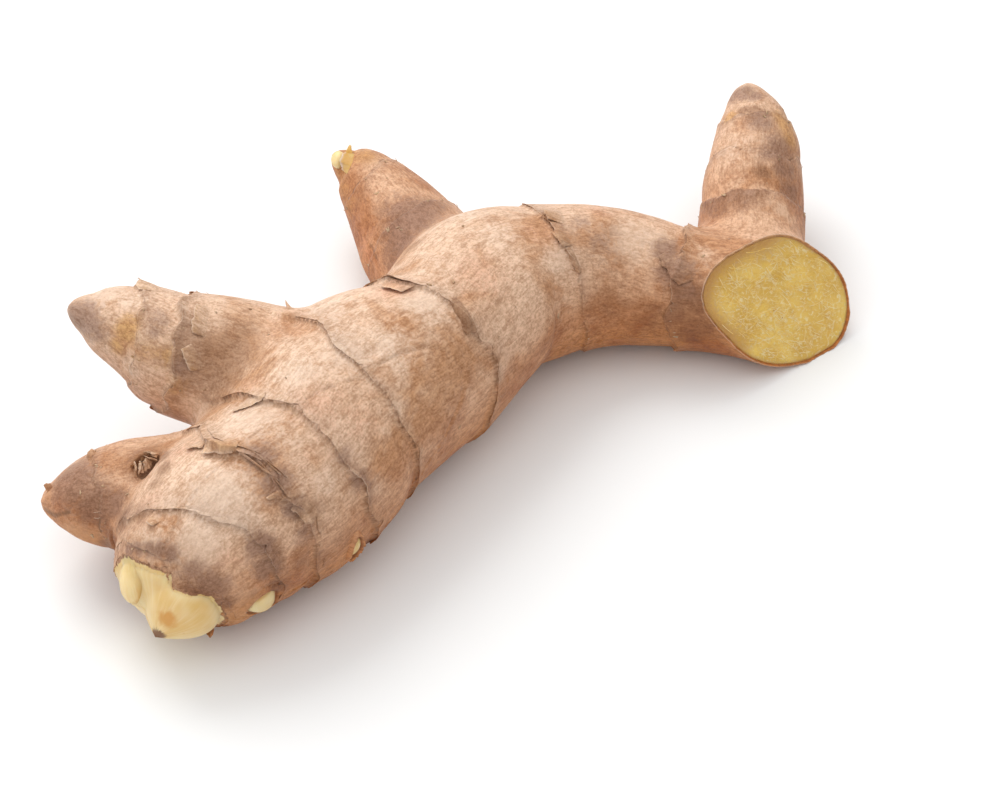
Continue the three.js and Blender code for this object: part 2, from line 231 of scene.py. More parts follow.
# Where the skin's colour changes, and where some cream and brown marks paint light and shade: [x, y, z, half
# width, strength] for each kind of mark.
MARKS = {
    "grey": [
        [-33, -56, 24, 1.8, 0.9], [-32, -57, 20, 1.8, 0.9], [-31, -56, 14, 1.7, 0.8],
        [-44, -60.4, 22.6, 1.7, 0.8], [-41, -61, 20, 2.1, 1], [-39, -61, 16, 1.5, 0.8],
        [-33, -44, 33, 2.1, 0.8], [-30, -48, 31, 2.1, 0.9], [-28, -50, 27, 1.7, 0.8],
        [-26, -52, 23, 1.5, 0.6], [-19, -41, 30, 1.5, 0.6], [-17, -42, 25, 1.5, 0.7],
        [-10, 28, 21, 4.1, 1], [-12, 23, 20, 2.8, 0.9], [-6, 31, 21, 2.4, 0.8],
        [-66, -38, 20, 3.4, 1], [-62, -42, 19, 2.7, 1], [-58, -43, 20, 2, 0.8],
        [-54.3, -55.4, 22.3, 0.9, 1], [-52.8, -56, 23.4, 0.9, 1], [-51, -56.8, 24.4, 0.9, 1],
        [-49.3, -57.3, 24.7, 1, 1], [-47.6, -57.5, 24.4, 1.1, 1], [25, 14, 25, 2.5, 0.3],
        [18, 17, 29, 1.6, 0.25], [-65.7, -10.5, 31.8, 2.3, 1], [-67.4, -9.2, 31.6, 1.9, 1],
        [-63.6, -12.8, 31.4, 1.9, 0.7], [-51.9, -13.8, 34.8, 1.5, 0.6], [-53, -15.6, 34, 1.1, 0.7],
        [-48.4, -20.6, 30.5, 1.3, 0.7], [53.7, 59.3, 24.9, 1.6, 1], [52.2, 60.3, 23.7, 1.4, 1],
        [55.6, 57.8, 25.2, 1.3, 0.9], [56.4, 50, 25.2, 1.8, 0.8], [59.6, 44.6, 23, 2.5, 0.8],
        [60.6, 41, 21.4, 2.2, 0.8], [61.4, 37, 19.5, 2, 0.8], [57.4, 43.4, 23.6, 1.9, 0.6],
        [38.4, 12.4, 22, 2.4, 1], [37.2, 16, 23.4, 2, 0.9], [40.6, 9.4, 20, 1.8, 0.7],
        [24.8, 16, 26.2, 2.0, 0.45], [21.6, 19, 27.8, 1.6, 0.5], [32.6, 17.6, 24.8, 1.4, 0.3],
    ],
    # The brown marks along the crease between the low finger and the main root, at (-57.2, -43.6, 19.2),
    # (-58.2, -45, 15), (-59.4, -44.6, 11), (-56.1, -48.2, 21.9) and (-55.9, -42.5, 20.5), are painted shade
    # in that crease.
    "brown": [
        [-44, -20, 31, 4.1, 0.9], [-40, -19, 31, 3.8, 0.9], [-38, -15, 33, 2.4, 0.6],
        [-42, -23, 28, 2.8, 0.8], [24, 15, 26, 2.2, 0.4], [27, 18, 26, 2.0, 0.4],
        [-11.5, 22, 20, 2.6, 0.9], [-12.3, 19, 18.6, 2.2, 1], [-8.5, 25, 21.3, 2.4, 0.8],
        [-9.2, 12, 28.4, 1.8, 0.6], [-57.2, -43.6, 19.2, 1.8, 0.9], [-58.2, -45, 15, 1.9, 1],
        [-59.4, -44.6, 11, 1.9, 1], [41, 8, 18, 2.9, 0.5], [-27, -54, 18, 2.3, 0.5],
        [-20, -49, 17, 2.7, 0.4], [27, 8, 18, 3.6, 0.5], [34, 8, 14, 3.7, 0.5],
        [-20, 37, 19, 2.3, 0.4], [-15, 32, 20, 2.3, 0.4], [-43, -62, 17, 1.3, 0.8],
        [-34, -59, 14, 2.3, 0.4], [-60, -44, 11, 2.1, 0.4], [-53, -37, 22, 2.9, 1],
        [-50.2, -38.4, 26.6, 1.3, 0.9], [-49.6, -42.6, 28.3, 1.2, 0.9], [-50.6, -45.4, 27.8, 1, 0.7],
        [-56.1, -48.2, 21.9, 1.9, 1], [-55.9, -42.5, 20.5, 1.6, 0.9], [-53.1, -50.5, 25.7, 1.8, 0.6],
        [-23.6, -51.8, 16.3, 2.2, 0.5], [-43.8, -20.6, 30.2, 2.6, 0.8], [-40.3, -21.4, 29.4, 2.8, 0.9],
        [-38.3, -19.4, 31, 2, 0.7], [-51, -19, 31, 2, 0.5], [-54.8, -17.4, 31.9, 1.8, 0.4],
        [55.3, 53.4, 25.5, 0.9, 1], [53.3, 53.8, 24.9, 0.9, 1], [57.2, 52.3, 25.6, 1, 1],
        [56.2, 38.5, 23, 1.2, 1], [43, 8.5, 18.4, 2.8, 0.9], [42.4, 6.9, 12.2, 3, 0.9],
        [40, 7.6, 15.5, 2.2, 0.8], [28.5, 13, 23.6, 2.2, 0.3],
    ],
    # Some cream marks are painted light: those at (-40, -50, 30), (-37.9, -60, 20.3) and (17.4, 10, 26.9)
    # lighten the front and right flanks in place of light from the front, and those at (-65.2, -43.2, 12.7)
    # and (-61.7, -44.3, 12.3) are painted light from the floor along the front end's lower edge.
    "cream": [
        [-35, -35, 33, 4.4, 0.8], [-40, -50, 30, 4.3, 0.9], [-48, -51, 29, 3.3, 0.5],
        [-23, -11, 35, 3.8, 0.6], [-20, -22, 36, 3.4, 0.7], [-4, 2, 34, 3.5, 0.4],
        [6, 12, 32, 4, 0.45], [17.4, 10, 26.9, 2.6, 0.7], [-37.9, -60, 20.3, 3, 0.4],
        [-51, -55.5, 24.5, 2.4, 0.7], [-37.7, -60.1, 11.4, 2.6, 1], [-35.3, -59.7, 14.9, 2.4, 0.9],
        [-65.2, -43.2, 12.7, 2.4, 1], [-61.7, -44.3, 12.3, 2.4, 1], [-66.1, -34.3, 20.4, 1.8, 0.7],
        [17, 4, 22, 2.5, 0.4], [31, 18, 25, 3.7, 0.8], [-27, -27, 36, 3, 0.7],
        [-46, -24, 23, 2.4, 0.6], [-29, -39, 34, 3, 0.5], [-12, -20, 35, 3.1, 0.6],
        [-7, -9, 35, 3, 0.9], [-62, -6, 34, 2.8, 0.8], [-58, -9, 35, 2.1, 0.6],
        [-43, -57, 25.6, 3.2, 1], [-36, -54, 28, 2.3, 0.6], [43, 15, 23, 2.2, 0.5],
        [1, 19, 29, 2.5, 0.6], [-22, -45, 28, 2.3, 0.4], [36, 19, 24, 2.2, 0.6],
        [-58, -18, 28, 1.7, 0.5], [59.4, 30.4, 20.6, 1.8, 0.8], [50.8, 44, 22.6, 2.2, 0.6],
        [-18.4, 45.2, 20.3, 2.2, 0.6], [-64.5, -6, 34, 2.4, 0.6],
    ],
    "yellow": [
        [-57.9, -14.1, 33, 1.6, 0.8], [-57.3, -13, 33.9, 1.3, 0.7], [-60, -15.4, 30.2, 1.2, 0.7],
        [-54.6, -17.2, 32, 2, 0.4], [-51, -18.9, 31.4, 1.8, 0.45], [-49, -23, 27.6, 1.6, 0.5],
        [50.8, 53.6, 23.4, 1.1, 1], [61.4, 51.5, 24, 1.7, 1], [62, 48.1, 22.6, 1.5, 1],
        [60.2, 52.8, 24.9, 1.3, 0.8], [-23.5, 40.9, 15, 2, 1], [-22.5, 37.2, 14.8, 1.7, 0.9],
        [-24.2, 44.6, 17, 1.7, 1], [-19.4, 46, 20.2, 1.7, 0.8], [-22.6, 46.8, 19.4, 1.6, 0.9],
    ],
    "pink": [
        [-19, 27, 13, 2.6, 0.6], [-12, -6, 34, 2.4, 0.8], [-36, -28, 33, 2.4, 0.4],
        [-30, -14, 33, 3.5, 0.4], [3, 0, 33, 4.2, 0.5], [14, 14, 29, 3.3, 0.4],
        [-25, -43, 31, 3, 0.3], [-47, -39, 29, 2.7, 0.5], [-51, -49, 27, 2.3, 0.5],
        [-38, -58, 23, 2.3, 0.4], [25, 24, 26, 2.6, 0.4], [-68, -40, 17, 1.4, 0.9],
        [-24, -33, 34, 3.4, 0.5], [-17, -34, 31, 3, 0.4],
    ],
}
# Fine creases and cracks, darkened with dirt and painted shade, each from one place to another: its half
# width and its strength.
CREASES = [
    [[-71.4, -39.2, 14.5], [-69.4, -40.8, 14.8], 0.65, 1],
    [[-69.4, -40.8, 14.8], [-66.7, -42.0, 17.0], 0.55, 1],
    [[-58.4, -43.4, 19.0], [-59.8, -45.0, 12.5], 1.9, 0.5],
    [[-58.8, -43.6, 18.6], [-59.9, -44.9, 14.0], 0.45, 0.8],
    [[-56.5, -42.5, 20.5], [-57.8, -45.1, 15.9], 0.7, 0.8],
    [[-57.8, -45.1, 15.9], [-59.1, -44.5, 10.5], 0.9, 1],
    [[-57.0, -53.0, 19.8], [-56.4, -47.7, 21.3], 0.6, 1],
    [[-56.4, -47.7, 21.3], [-56.3, -41.2, 21.6], 0.5, 0.7],
    [[-17.8, 26.8, 15.0], [-16.2, 22.3, 15.4], 0.4, 0.8],
    [[39.2, 12.3, 22.3], [37.9, 8.3, 18.5], 0.45, 1],
    [[37.9, 8.3, 18.5], [37.4, 7.4, 11.7], 0.5, 1],
    [[-48.0, -12.2, 35.8], [-44.9, -16.3, 33.6], 0.42, 0.9],
    [[-54.3, -11.8, 35.2], [-53.0, -15.3, 34.1], 0.4, 0.7],
]


def unit(vectors):
    return vectors / np.maximum(np.linalg.norm(vectors, axis=-1, keepdims=True), 1e-9)


def around(angle, right, up):
    """The direction at each angle, turning from "right" towards "up"."""
    return np.cos(angle)[..., None] * right + np.sin(angle)[..., None] * up


def turned_from(middle, angle):
    """How many degrees each angle is from a middle one, -180 to 180."""
    return (np.degrees(angle) - middle + 180) % 360 - 180


def near_place(points, place, width):
    """1 at a place, fading to about a third at a width from it."""
    return np.exp(-((points - place) ** 2).sum(1) / width**2)


class Limb:
    """A limb's axis, radius and scale edges, all as functions of the way along and round it."""

    def __init__(self, number, stations, tip, rings, soft):
        self.number, self.tip, self.rings, self.soft = number, tip, rings, soft
        table = np.array(stations, float) + TO_FRAME
        ends = [2 * table[0] - table[1], 2 * table[-1] - table[-2]]
        a = np.vstack([ends[0], table, ends[1]])
        place = np.linspace(0, len(table) - 1, (len(table) - 1) * AXIS_POINTS + 1)
        i = np.minimum(place.astype(int), len(table) - 2)
        f = (place - i)[:, None]
        p, q, r, s = a[i], a[i + 1], a[i + 2], a[i + 3]
        line = q + 0.5 * f * (r - p + f * (2 * p - 5 * q + 4 * r - s + f * (3 * q - p - 3 * r + s)))
        self.points, self.radii = line[:, :3], line[:, 3]
        steps = np.linalg.norm(np.diff(self.points, axis=0), axis=1)
        self.stops = np.concatenate([[0.0], np.cumsum(steps)])
        self.length = self.stops[-1]
        self.tangents = unit(np.gradient(self.points, axis=0))

    def frame_at(self, along):
        """The axis point, tangent, rightward and upward directions at each way along."""
        along = np.clip(along, 0, self.length)
        point, tangent = (
            np.stack([np.interp(along, self.stops, column) for column in table.T], -1)
            for table in (self.points, self.tangents)
        )
        tangent = unit(tangent)
        right = unit(np.cross(tangent, [0.0, 0.0, 1.0]))
        return point, tangent, right, np.cross(right, tangent)

    def edge(self, ring, angle):
        """How far along a scale's ragged edge lies, at each angle round the limb."""
        waves = sum(
            height * np.sin(count * angle + (2 * i + 1) * ring["at"])
            for i, (height, count) in enumerate(zip(RAGGED, EDGE_WAVES))
        )
        if "outline" in ring:
            turns, places = np.transpose(ring["outline"])
            return np.interp(np.degrees(angle), turns, places, period=360) + RAGGED_OUTLINE * waves
        lean = ring["lean"] * np.cos(angle - math.radians(ring["side"]))
        return ring["at"] + lean + waves + flap_at(ring, angle, 2)

    def lift(self, ring, angle):
        return ring["lip"] + flap_at(ring, angle, 3)

    def plain_radius(self, along):
        return np.interp(along, self.stops, self.radii)

    def radius(self, along, angle):
        """The skin's distance from the axis, with each scale's bulge, rising edge and step."""
        total = self.plain_radius(along)
        twofold = LUMPS[0] * np.sin(2 * angle + along / LUMP_TURNS[0])
        share = 1 + twofold + LUMPS[1] * np.sin(3 * angle - along / LUMP_TURNS[1])
        start = np.zeros_like(along)
        rise = np.zeros_like(along)
        for ring in [*self.rings, None]:
            edge = self.edge(ring, angle) if ring else np.full_like(along, self.length)
            inside = (along > start) & (along < edge)
            way = np.clip((along - start) / (edge - start), 0, 1)
            share = share + np.where(inside, BULGE * np.sin(math.pi * way), 0)
            if ring:
                before = np.exp(np.minimum(along - edge, 0) / SWELL)
                after = np.clip(1 - (along - edge) / STEP, 0, 1)
                rise = rise + self.lift(ring, angle) * np.where(along < edge, before, after)
            start = edge + STEP
        return total * share + rise

    def surface(self, along, angle, height=0.0):
        """Points at a height over the skin."""
        point, _, right, up = self.frame_at(along)
        reach = (self.radius(along, angle) + height)[..., None]
        return point + reach * around(angle, right, up)

    def locate(self, points):
        """Each point's way along, angle, distance from the axis and distance past its place on the
        axis, and the way out and along there."""
        nearest = np.concatenate([
            ((self.points**2).sum(1) - 2 * block @ self.points.T).argmin(1)
            for block in np.array_split(points, max(1, len(points) // AT_ONCE))
        ])
        ahead = ((points - self.points[nearest]) * self.tangents[nearest]).sum(1)
        along = self.stops[nearest] + ahead
        centre, tangent, right, up = self.frame_at(along)
        offset = points - centre
        past = (offset * tangent).sum(1)
        side = offset - past[:, None] * tangent
        angle = np.arctan2((side * up).sum(1), (side * right).sum(1))
        return along, angle, np.linalg.norm(side, axis=1), past, unit(side), tangent


def flap_at(ring, angle, column):
    """How far a ring's flaps change its edge (column 2, reach) or its lift (column 3, rise)."""
    total = np.zeros_like(angle)
    for flap in ring.get("flaps", []):
        total = total + flap[column] * np.exp(-(turned_from(flap[0], angle) / flap[1]) ** 2)
    return total


GINGER = {name: Limb(i, **table) for i, (name, table) in enumerate(LIMBS.items())}
ROOT_LENGTH = 6.0  # over which a finger sinks into the root, behind its start
ROOT_DEPTH = 2.5  # how deep it sinks


def limb_field(limb, points):
    """How far each point lies outside a limb, which way is out, and where it is on the limb."""
    along, angle, reach, past, out, tangent = limb.locate(points)
    radius = limb.radius(np.clip(along, 0, limb.length), angle)
    outside = reach - radius + ROOT_DEPTH * np.clip(1 - along / ROOT_LENGTH, 0, None) ** 2
    beyond = along > limb.length
    cap = (reach / radius) ** 2 + past / (limb.tip * radius) - 1
    slope = out * (2 * reach / radius**2)[:, None] + tangent / (limb.tip * radius)[:, None]
    outside = np.where(beyond, cap / np.linalg.norm(slope, axis=1), outside)
    out = np.where(beyond[:, None], unit(slope), out)
    root_end = (-along > outside) & (along < 0)
    return np.where(root_end, -along, outside), np.where(root_end[:, None], -tangent, out), along, angle


def bud_axis(bud):
    """A bud's root, the direction it points in and its length."""
    root, end = np.array(bud["root"]), np.array(bud["end"])
    length = np.linalg.norm(end - root)
    return root + TO_FRAME[:3], (end - root) / length, length


def bud_field(bud, points):
    """How far each point lies outside a bud, and which way is out."""
    root, axis, length = bud_axis(bud)
    height = (points - root) @ axis
    side = points - root - height[:, None] * axis
    reach = np.linalg.norm(side, axis=1)
    out = unit(side)
    radius, back = bud["radius"], bud["back"] * bud["radius"]
    span = np.where(height < 0, back, length)
    ball = np.hypot(reach / radius, height / span)
    outside = (ball - 1) * np.minimum(radius, span)
    slope = unit(out * (reach / radius**2)[:, None] + axis * (height / span**2)[:, None])
    if bud["taper"] == 1:
        front = (height > 0) & (height < 2 * length)
        lean = 2 * radius * height / length**2
        cone = (reach - radius * (1 - (height / length) ** 2)) / np.hypot(1, lean)
        outside = np.where(front, cone, outside)
        slope = np.where(front[:, None], unit(out + axis * lean[:, None]), slope)
    return outside, slope


def joined(a, b, soft):
    """The union of two fields (outside, out), rounded where they meet."""
    share = np.clip(0.5 + 0.5 * (b[0] - a[0]) / soft, 0, 1)
    outside = b[0] + share * (a[0] - b[0]) - soft * share * (1 - share)
    return outside, b[1] + share[:, None] * (a[1] - b[1])


SOFT_BUD = 0.5  # width of the rounding where a bud leaves its limb
JOINT_REACH = 3.0  # how near a joint its limbs' own marks fade


def root_field(points):
    """The whole root's field, and each point's limb, way along, angle and clearance of a joint."""
    field, best = None, None
    for limb in GINGER.values():
        outside, out, along, angle = limb_field(limb, points)
        here = np.stack([outside, np.full_like(outside, limb.number), along, angle], 1)
        if field is None:
            field, best, next_best = (outside, out), here, np.full_like(outside, np.inf)
            continue
        field = joined(field, (outside, out), limb.soft)
        next_best = np.minimum(next_best, np.maximum(outside, best[:, 0]))
        best = np.where(here[:, :1] < best[:, :1], here, best)
    for bud in BUDS.values():
        field = joined(field, bud_field(bud, points), SOFT_BUD)
    clear = np.clip((next_best - best[:, 0]) / JOINT_REACH, 0, 1)
    return field, np.column_stack([best, clear])


SMOOTHNESS = 0.8  # of random heights: the higher, the lower each finer set of waves is
FINER = 2.0  # how many times finer each set of waves is than the last


def fractal(points, size, octaves, seed):
    """Smooth random heights, about -1 to 1, whose largest waves are "size" long."""
    places = np.asarray(points, float) / size + seed
    heights = [noise.fractal(Vector(place), SMOOTHNESS, FINER, octaves) for place in places.reshape(-1, 3)]
    return np.array(heights)


def round_noise(angle, along, waves, seed):
    """Random heights that close up round a limb."""
    places = np.stack([np.cos(angle) * waves, np.sin(angle) * waves, along], -1)
    return fractal(places, 1.0, 3, seed).reshape(angle.shape)


def depth_of(points):
    """How far each point lies outside the root."""
    return root_field(points)[0][0]


def past_knife(points):
    """How far each point lies past the knife's plane."""
    return (points - KNIFE_POINT) @ KNIFE_NORMAL


def reach_within(outside_of, centre, directions, farthest, halvings):
    """How far the inside reaches from each centre, searched for by halving."""
    near, far = np.zeros(directions.shape[:-1]), np.full(directions.shape[:-1], farthest)
    for _ in range(halvings):
        middle = (near + far) / 2
        points = centre + middle[..., None] * directions
        outside = outside_of(points.reshape(-1, 3)).reshape(middle.shape)
        near, far = np.where(outside < 0, middle, near), np.where(outside < 0, far, middle)
    return near


# ---------------------------------------------------------------- making pieces
FLOOR_GAP = 0.02  # finer pieces stay this far above the floor
GRAIN_SHIFT = 60  # between the limbs' places in the skin's grain, so that no two look alike
MARK_SPREAD = 1.6  # a mark's width, as a multiple of its half width
MARGIN_FADE = 1.5  # length over which a dry margin fades, behind a scale's edge
DIRT_AND_SHADE_FADE = 0.55  # length over which the dirt and painted shade past a scale's edge fade
DARK_REACH = 1.15  # where a dark place ends behind the edge, as a multiple of its length
DARK_GREY = 0.3  # share of grey in a dark place
BARE_START = 0.3  # the shoot is bare from at least this far before the main root's end
BARE_FADE = 0.6  # length over which the skin round it ends


def above_floor(points):
    points[:, 2] = np.maximum(points[:, 2], FLOOR_GAP)


def grid_faces(rows, columns, closed=True):
    """Quads of a grid of points, row by row; a closed grid joins its last column to its first."""
    row, column = np.meshgrid(np.arange(rows - 1), np.arange(columns - (not closed)), indexing="ij")
    a = row * columns + column
    b = row * columns + (column + 1) % columns
    return np.stack([a, a + columns, b + columns, b], -1).reshape(-1, 4)


def closing_faces(rows, columns):
    """Quads that join a closed grid's last row to its first."""
    column = np.arange(columns)
    after = (column + 1) % columns
    last = (rows - 1) * columns
    return np.stack([last + column, column, after, last + after], 1)


def piece(name, points, faces, material, slot, marks=None):
    """A finished piece of the root, from points in millimetres."""
    mesh = bpy.data.meshes.new(name)
    corners = [list(map(int, face)) for face in faces]
    mesh.from_pydata((np.asarray(points).reshape(-1, 3) * MM).tolist(), [], corners)
    return finished(name, mesh, material, slot, marks)


def finished(name, mesh, material, slot, marks=None):
    """The root's piece with this mesh and material, and its marks as attributes; the slot is not used."""
    mesh.name = name
    mesh.shade_smooth()
    mesh.materials.clear()
    mesh.materials.append(material)
    for key, values in (marks or {}).items():
        kind, field = ("FLOAT_VECTOR", "vector") if np.ndim(values) == 2 else ("FLOAT", "value")
        attribute = mesh.attributes.new(key, kind, "POINT")
        attribute.data.foreach_set(field, np.asarray(values, np.float32).ravel())
    obj = bpy.data.objects.new(name, mesh)
    bpy.context.scene.collection.objects.link(obj)
    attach(obj, BODY)
    return obj


def grain_of(limb_number, along, angle, reach):
    """A place in the skin's grain, which runs along each limb, in metres."""
    shifted = along + GRAIN_SHIFT * limb_number
    return np.stack([shifted, reach * np.cos(angle), reach * np.sin(angle)], -1) * MM


def near_line(points, start, end):
    """Each point's distance from a line between two places."""
    start, end = np.array(start), np.array(end)
    share = np.clip((points - start) @ (end - start) / ((end - start) @ (end - start)), 0, 1)
    return np.linalg.norm(points - start - share[:, None] * (end - start), axis=1)


def skin_marks(points, best):
    """The attributes that the skin's material reads, for points on the root."""
    marks = {}
    for kind, places in MARKS.items():
        strength = np.zeros(len(points))
        for x, y, z, width, amount in places:
            near = near_place(points, [x, y, z], MARK_SPREAD * width)
            strength = np.maximum(strength, amount * near)
        marks[kind] = strength
    margin, past, dark, flesh, reach = (np.zeros(len(points)) for _ in range(5))
    for limb in GINGER.values():
        mine = best[:, 1] == limb.number
        along, angle = best[mine, 2], best[mine, 3]
        reach[mine] = limb.plain_radius(along)
        for ring in limb.rings:
            gap = along - limb.edge(ring, angle)
            margin[mine] = np.maximum(margin[mine], np.where(gap < 0, np.exp(gap / MARGIN_FADE), 0))
            # Dirt and painted shade just past each scale's edge, under its step.
            past[mine] = np.maximum(past[mine], np.where(gap >= 0, np.exp(-gap / DIRT_AND_SHADE_FADE), 0))
            for middle, half, length, strength in ring.get("dark", []):
                turn = turned_from(middle, angle) / half
                fading = np.clip(DARK_REACH + gap / length, 0, 1)
                zone = strength * np.exp(-(turn**4)) * fading * (gap < 0)
                dark[mine] = np.maximum(dark[mine], zone)
    clear = best[:, 4]
    past *= clear
    # Dirt and painted shade along the creases.
    for start, end, half, strength in CREASES:
        past = np.maximum(past, strength * np.exp(-((near_line(points, start, end) / half) ** 2)))
    main = GINGER["main"]
    on_main = best[:, 1] == main.number
    opening = np.minimum(main.edge(main.rings[-1], best[on_main, 3]), main.length - BARE_START)
    flesh[on_main] = np.clip((best[on_main, 2] - opening) / BARE_FADE, 0, 1)
    past *= 1 - flesh
    marks["grey"] = np.maximum(marks["grey"], DARK_GREY * dark * clear)
    marks["brown"] = np.maximum(marks["brown"], dark * clear)
    marks.update(margin=margin * clear, past=past, flesh=flesh, joint=1 - clear)
    marks["grain"] = grain_of(best[:, 1], best[:, 2], best[:, 3], reach)
    return marks


# ---------------------------------------------------------------- node helpers
def node(tree, kind, inputs=None, **settings):
    """A node with its settings; each input, by name or index, is a value or a socket to link."""
    made = tree.nodes.new(kind)
    for key, value in settings.items():
        setattr(made, key, value)
    for key, value in (inputs or {}).items():
        if isinstance(value, bpy.types.NodeSocket):
            tree.links.new(value, made.inputs[key])
        else:
            made.inputs[key].default_value = value
    return made


def maths(tree, operation, *values):
    return node(tree, "ShaderNodeMath", dict(enumerate(values)), operation=operation).outputs[0]


def weighted(tree, first, *rest):
    """The sum of several values, each times its weight."""
    total = maths(tree, "MULTIPLY", *first)
    for value, weight in rest:
        total = maths(tree, "ADD", total, maths(tree, "MULTIPLY", value, weight))
    return total


def blend_colours(tree, share, under, over, blend="MIX"):
    """Colour "over" laid on "under" by a share from 0 to 1."""
    made = node(tree, "ShaderNodeMix", {0: share, 6: under, 7: over}, data_type="RGBA", blend_type=blend)
    return made.outputs[2]


def blend_values(tree, share, under, over):
    return node(tree, "ShaderNodeMix", {0: share, 2: under, 3: over}, data_type="FLOAT").outputs[0]


def spread(tree, value, low, high, to_low=0.0, to_high=1.0):
    """A value from low to high, spread smoothly from to_low to to_high."""
    inputs = {0: value, 1: low, 2: high, 3: to_low, 4: to_high}
    return node(tree, "ShaderNodeMapRange", inputs, interpolation_type="SMOOTHSTEP").outputs[0]


def cloud(tree, vector, scale, detail=3.0, roughness=0.55, stretch=None, distortion=0.0):
    """Noise of so many waves in a metre, drawn out along an axis by "stretch"."""
    if stretch:
        vector = node(tree, "ShaderNodeMapping", {0: vector, 3: stretch}).outputs[0]
    sizes = {"Scale": scale, "Detail": detail, "Roughness": roughness, "Distortion": distortion}
    return node(tree, "ShaderNodeTexNoise", {"Vector": vector, **sizes}).outputs[0]


def mark(tree, name):
    return node(tree, "ShaderNodeAttribute", attribute_name=name).outputs["Fac"]


def grain_place(tree):
    return node(tree, "ShaderNodeAttribute", attribute_name="grain").outputs["Vector"]


def object_place(tree):
    return node(tree, "ShaderNodeTexCoord").outputs["Object"]


def new_material(name):
    material = bpy.data.materials.new(name)
    material.use_nodes = True
    tree = material.node_tree
    return material, tree, tree.nodes["Principled BSDF"]


def bump(tree, height, distance, strength):
    inputs = {"Height": height, "Distance": distance, "Strength": strength}
    return node(tree, "ShaderNodeBump", inputs).outputs[0]


def colour(value):
    return (*value, 1.0)


def stained(tree, under, tint, value, low, high, most=1.0):
    """A colour with a tint laid on it, from none where a value is low to "most" where it is high."""
    return blend_colours(tree, spread(tree, value, low, high, 0.0, most), under, colour(tint))


def let_light_in(shader, share, depth):
    """Lets a share of the light in, as deep as given for red, green and blue, in metres."""
    shader.inputs["Subsurface Weight"].default_value = share
    shader.inputs["Subsurface Radius"].default_value = depth
    shader.inputs["Subsurface Scale"].default_value = 1.0


# ---------------------------------------------------------------- materials
def skin_material(look):
    """Tan skin: cloudy, with coloured patches, dark zones, dry margins and a fine felt of threads; dirt and
    painted shade past the scales' edges and in creases, painted shade near the floor, some cream marks
    painted light and some brown ones painted shade.
    """
    material, tree, shader = new_material("ginger_skin")
    grain, place, joint = grain_place(tree), object_place(tree), mark(tree, "joint")
    streaks = blend_values(
        tree, joint, cloud(tree, grain, 1000, 4, 0.6, (0.3, 1, 1), 0.5), cloud(tree, place, 800, 4, 0.6)
    )
    threads = blend_values(
        tree, joint, cloud(tree, grain, 2500, 3, 0.65, (0.28, 1, 1), 0.4), cloud(tree, place, 1900, 3, 0.65)
    )
    mottle = cloud(tree, place, 620, 6, 0.68, distortion=0.8)
    clouds = cloud(tree, place, 95, 4, 0.55, distortion=0.5)
    specks = cloud(tree, place, 2300, 3, 0.7)
    height = node(tree, "ShaderNodeSeparateXYZ", {0: place}).outputs[2]

    tan = stained(tree, colour(look.skin_dark), look.skin_light, clouds, 0.34, 0.6)
    for kind, tint, strength in (
        ("cream", look.skin_cream_and_highlight, 0.7),
        ("pink", look.skin_pink, 0.6),
        ("brown", look.skin_brown, 0.8),
        ("yellow", look.skin_yellow, 0.9),
        ("grey", look.skin_grey, 0.85),
    ):
        patchy = maths(tree, "ADD", mark(tree, kind), spread(tree, mottle, 0.35, 0.65, 0.16, -0.16))
        tan = stained(tree, tan, tint, patchy, 0.1, 0.8, strength)
    dry = maths(tree, "MULTIPLY", mark(tree, "margin"), spread(tree, clouds, 0.35, 0.6, 0.05, 0.6))
    tan = blend_colours(tree, dry, tan, colour(look.skin_grey))

    felt = weighted(tree, (threads, 0.6), (streaks, 0.5), (mottle, -0.5), (specks, -0.6))
    felt = stained(tree, colour(look.felt_dark), look.felt_light, felt, -0.24, 0.22)
    felt_eased_on_cream = spread(tree, mark(tree, "cream"), 0.0, 1.0, look.felt, 0.45 * look.felt)
    tan = blend_colours(tree, felt_eased_on_cream, tan, felt, "MULTIPLY")
    # Painted shade and warm bounce light: the skin darker and warmer towards the floor.
    low = spread(tree, height, 0.008, 0.03, 1.0, 0.0)
    tan = blend_colours(tree, low, tan, colour(look.skin_painted_low_shade), "MULTIPLY")

    # Dirt and painted shade past the scales' edges and along creases, in cloudy patches.
    dirt_and_shade_patches = spread(tree, clouds, 0.34, 0.6, 0.95, 0.5)
    crack_dirt_and_shade = maths(tree, "MULTIPLY", spread(tree, mark(tree, "past"), 0.25, 0.85), dirt_and_shade_patches)
    tan = blend_colours(tree, crack_dirt_and_shade, tan, colour(look.crack_dirt_and_shade))
    # Paler free, frayed edges: partly real fraying, partly a painted highlight.
    tan = stained(tree, tan, look.skin_cream_and_highlight, mark(tree, "fray_and_highlight"), 0.4, 1.0, 0.55)
    bare = maths(tree, "ADD", mark(tree, "flesh"), spread(tree, mottle, 0.3, 0.7, -0.2, 0.2))
    tan = stained(tree, tan, look.bud_brown, bare, 0.15, 0.4, 0.4)
    tan = blend_colours(tree, spread(tree, bare, 0.4, 0.6), tan, bud_colours(tree, look, grain))

    tree.links.new(tan, shader.inputs["Base Color"])
    tree.links.new(spread(tree, mottle, 0.3, 0.75, 0.5, 0.72), shader.inputs["Roughness"])
    relief = weighted(
        tree, (streaks, 0.7), (threads, 0.4), (mottle, 0.7), (specks, 0.3), (mark(tree, "past"), -1.2)
    )
    tree.links.new(bump(tree, relief, 0.00026, look.relief), shader.inputs["Normal"])
    let_light_in(shader, 0.08, (0.0012, 0.0007, 0.0004))
    shader.inputs["Specular IOR Level"].default_value = 0.35
    shader.inputs["Sheen Weight"].default_value = 0.08
    shader.inputs["Sheen Roughness"].default_value = 0.5
    return material


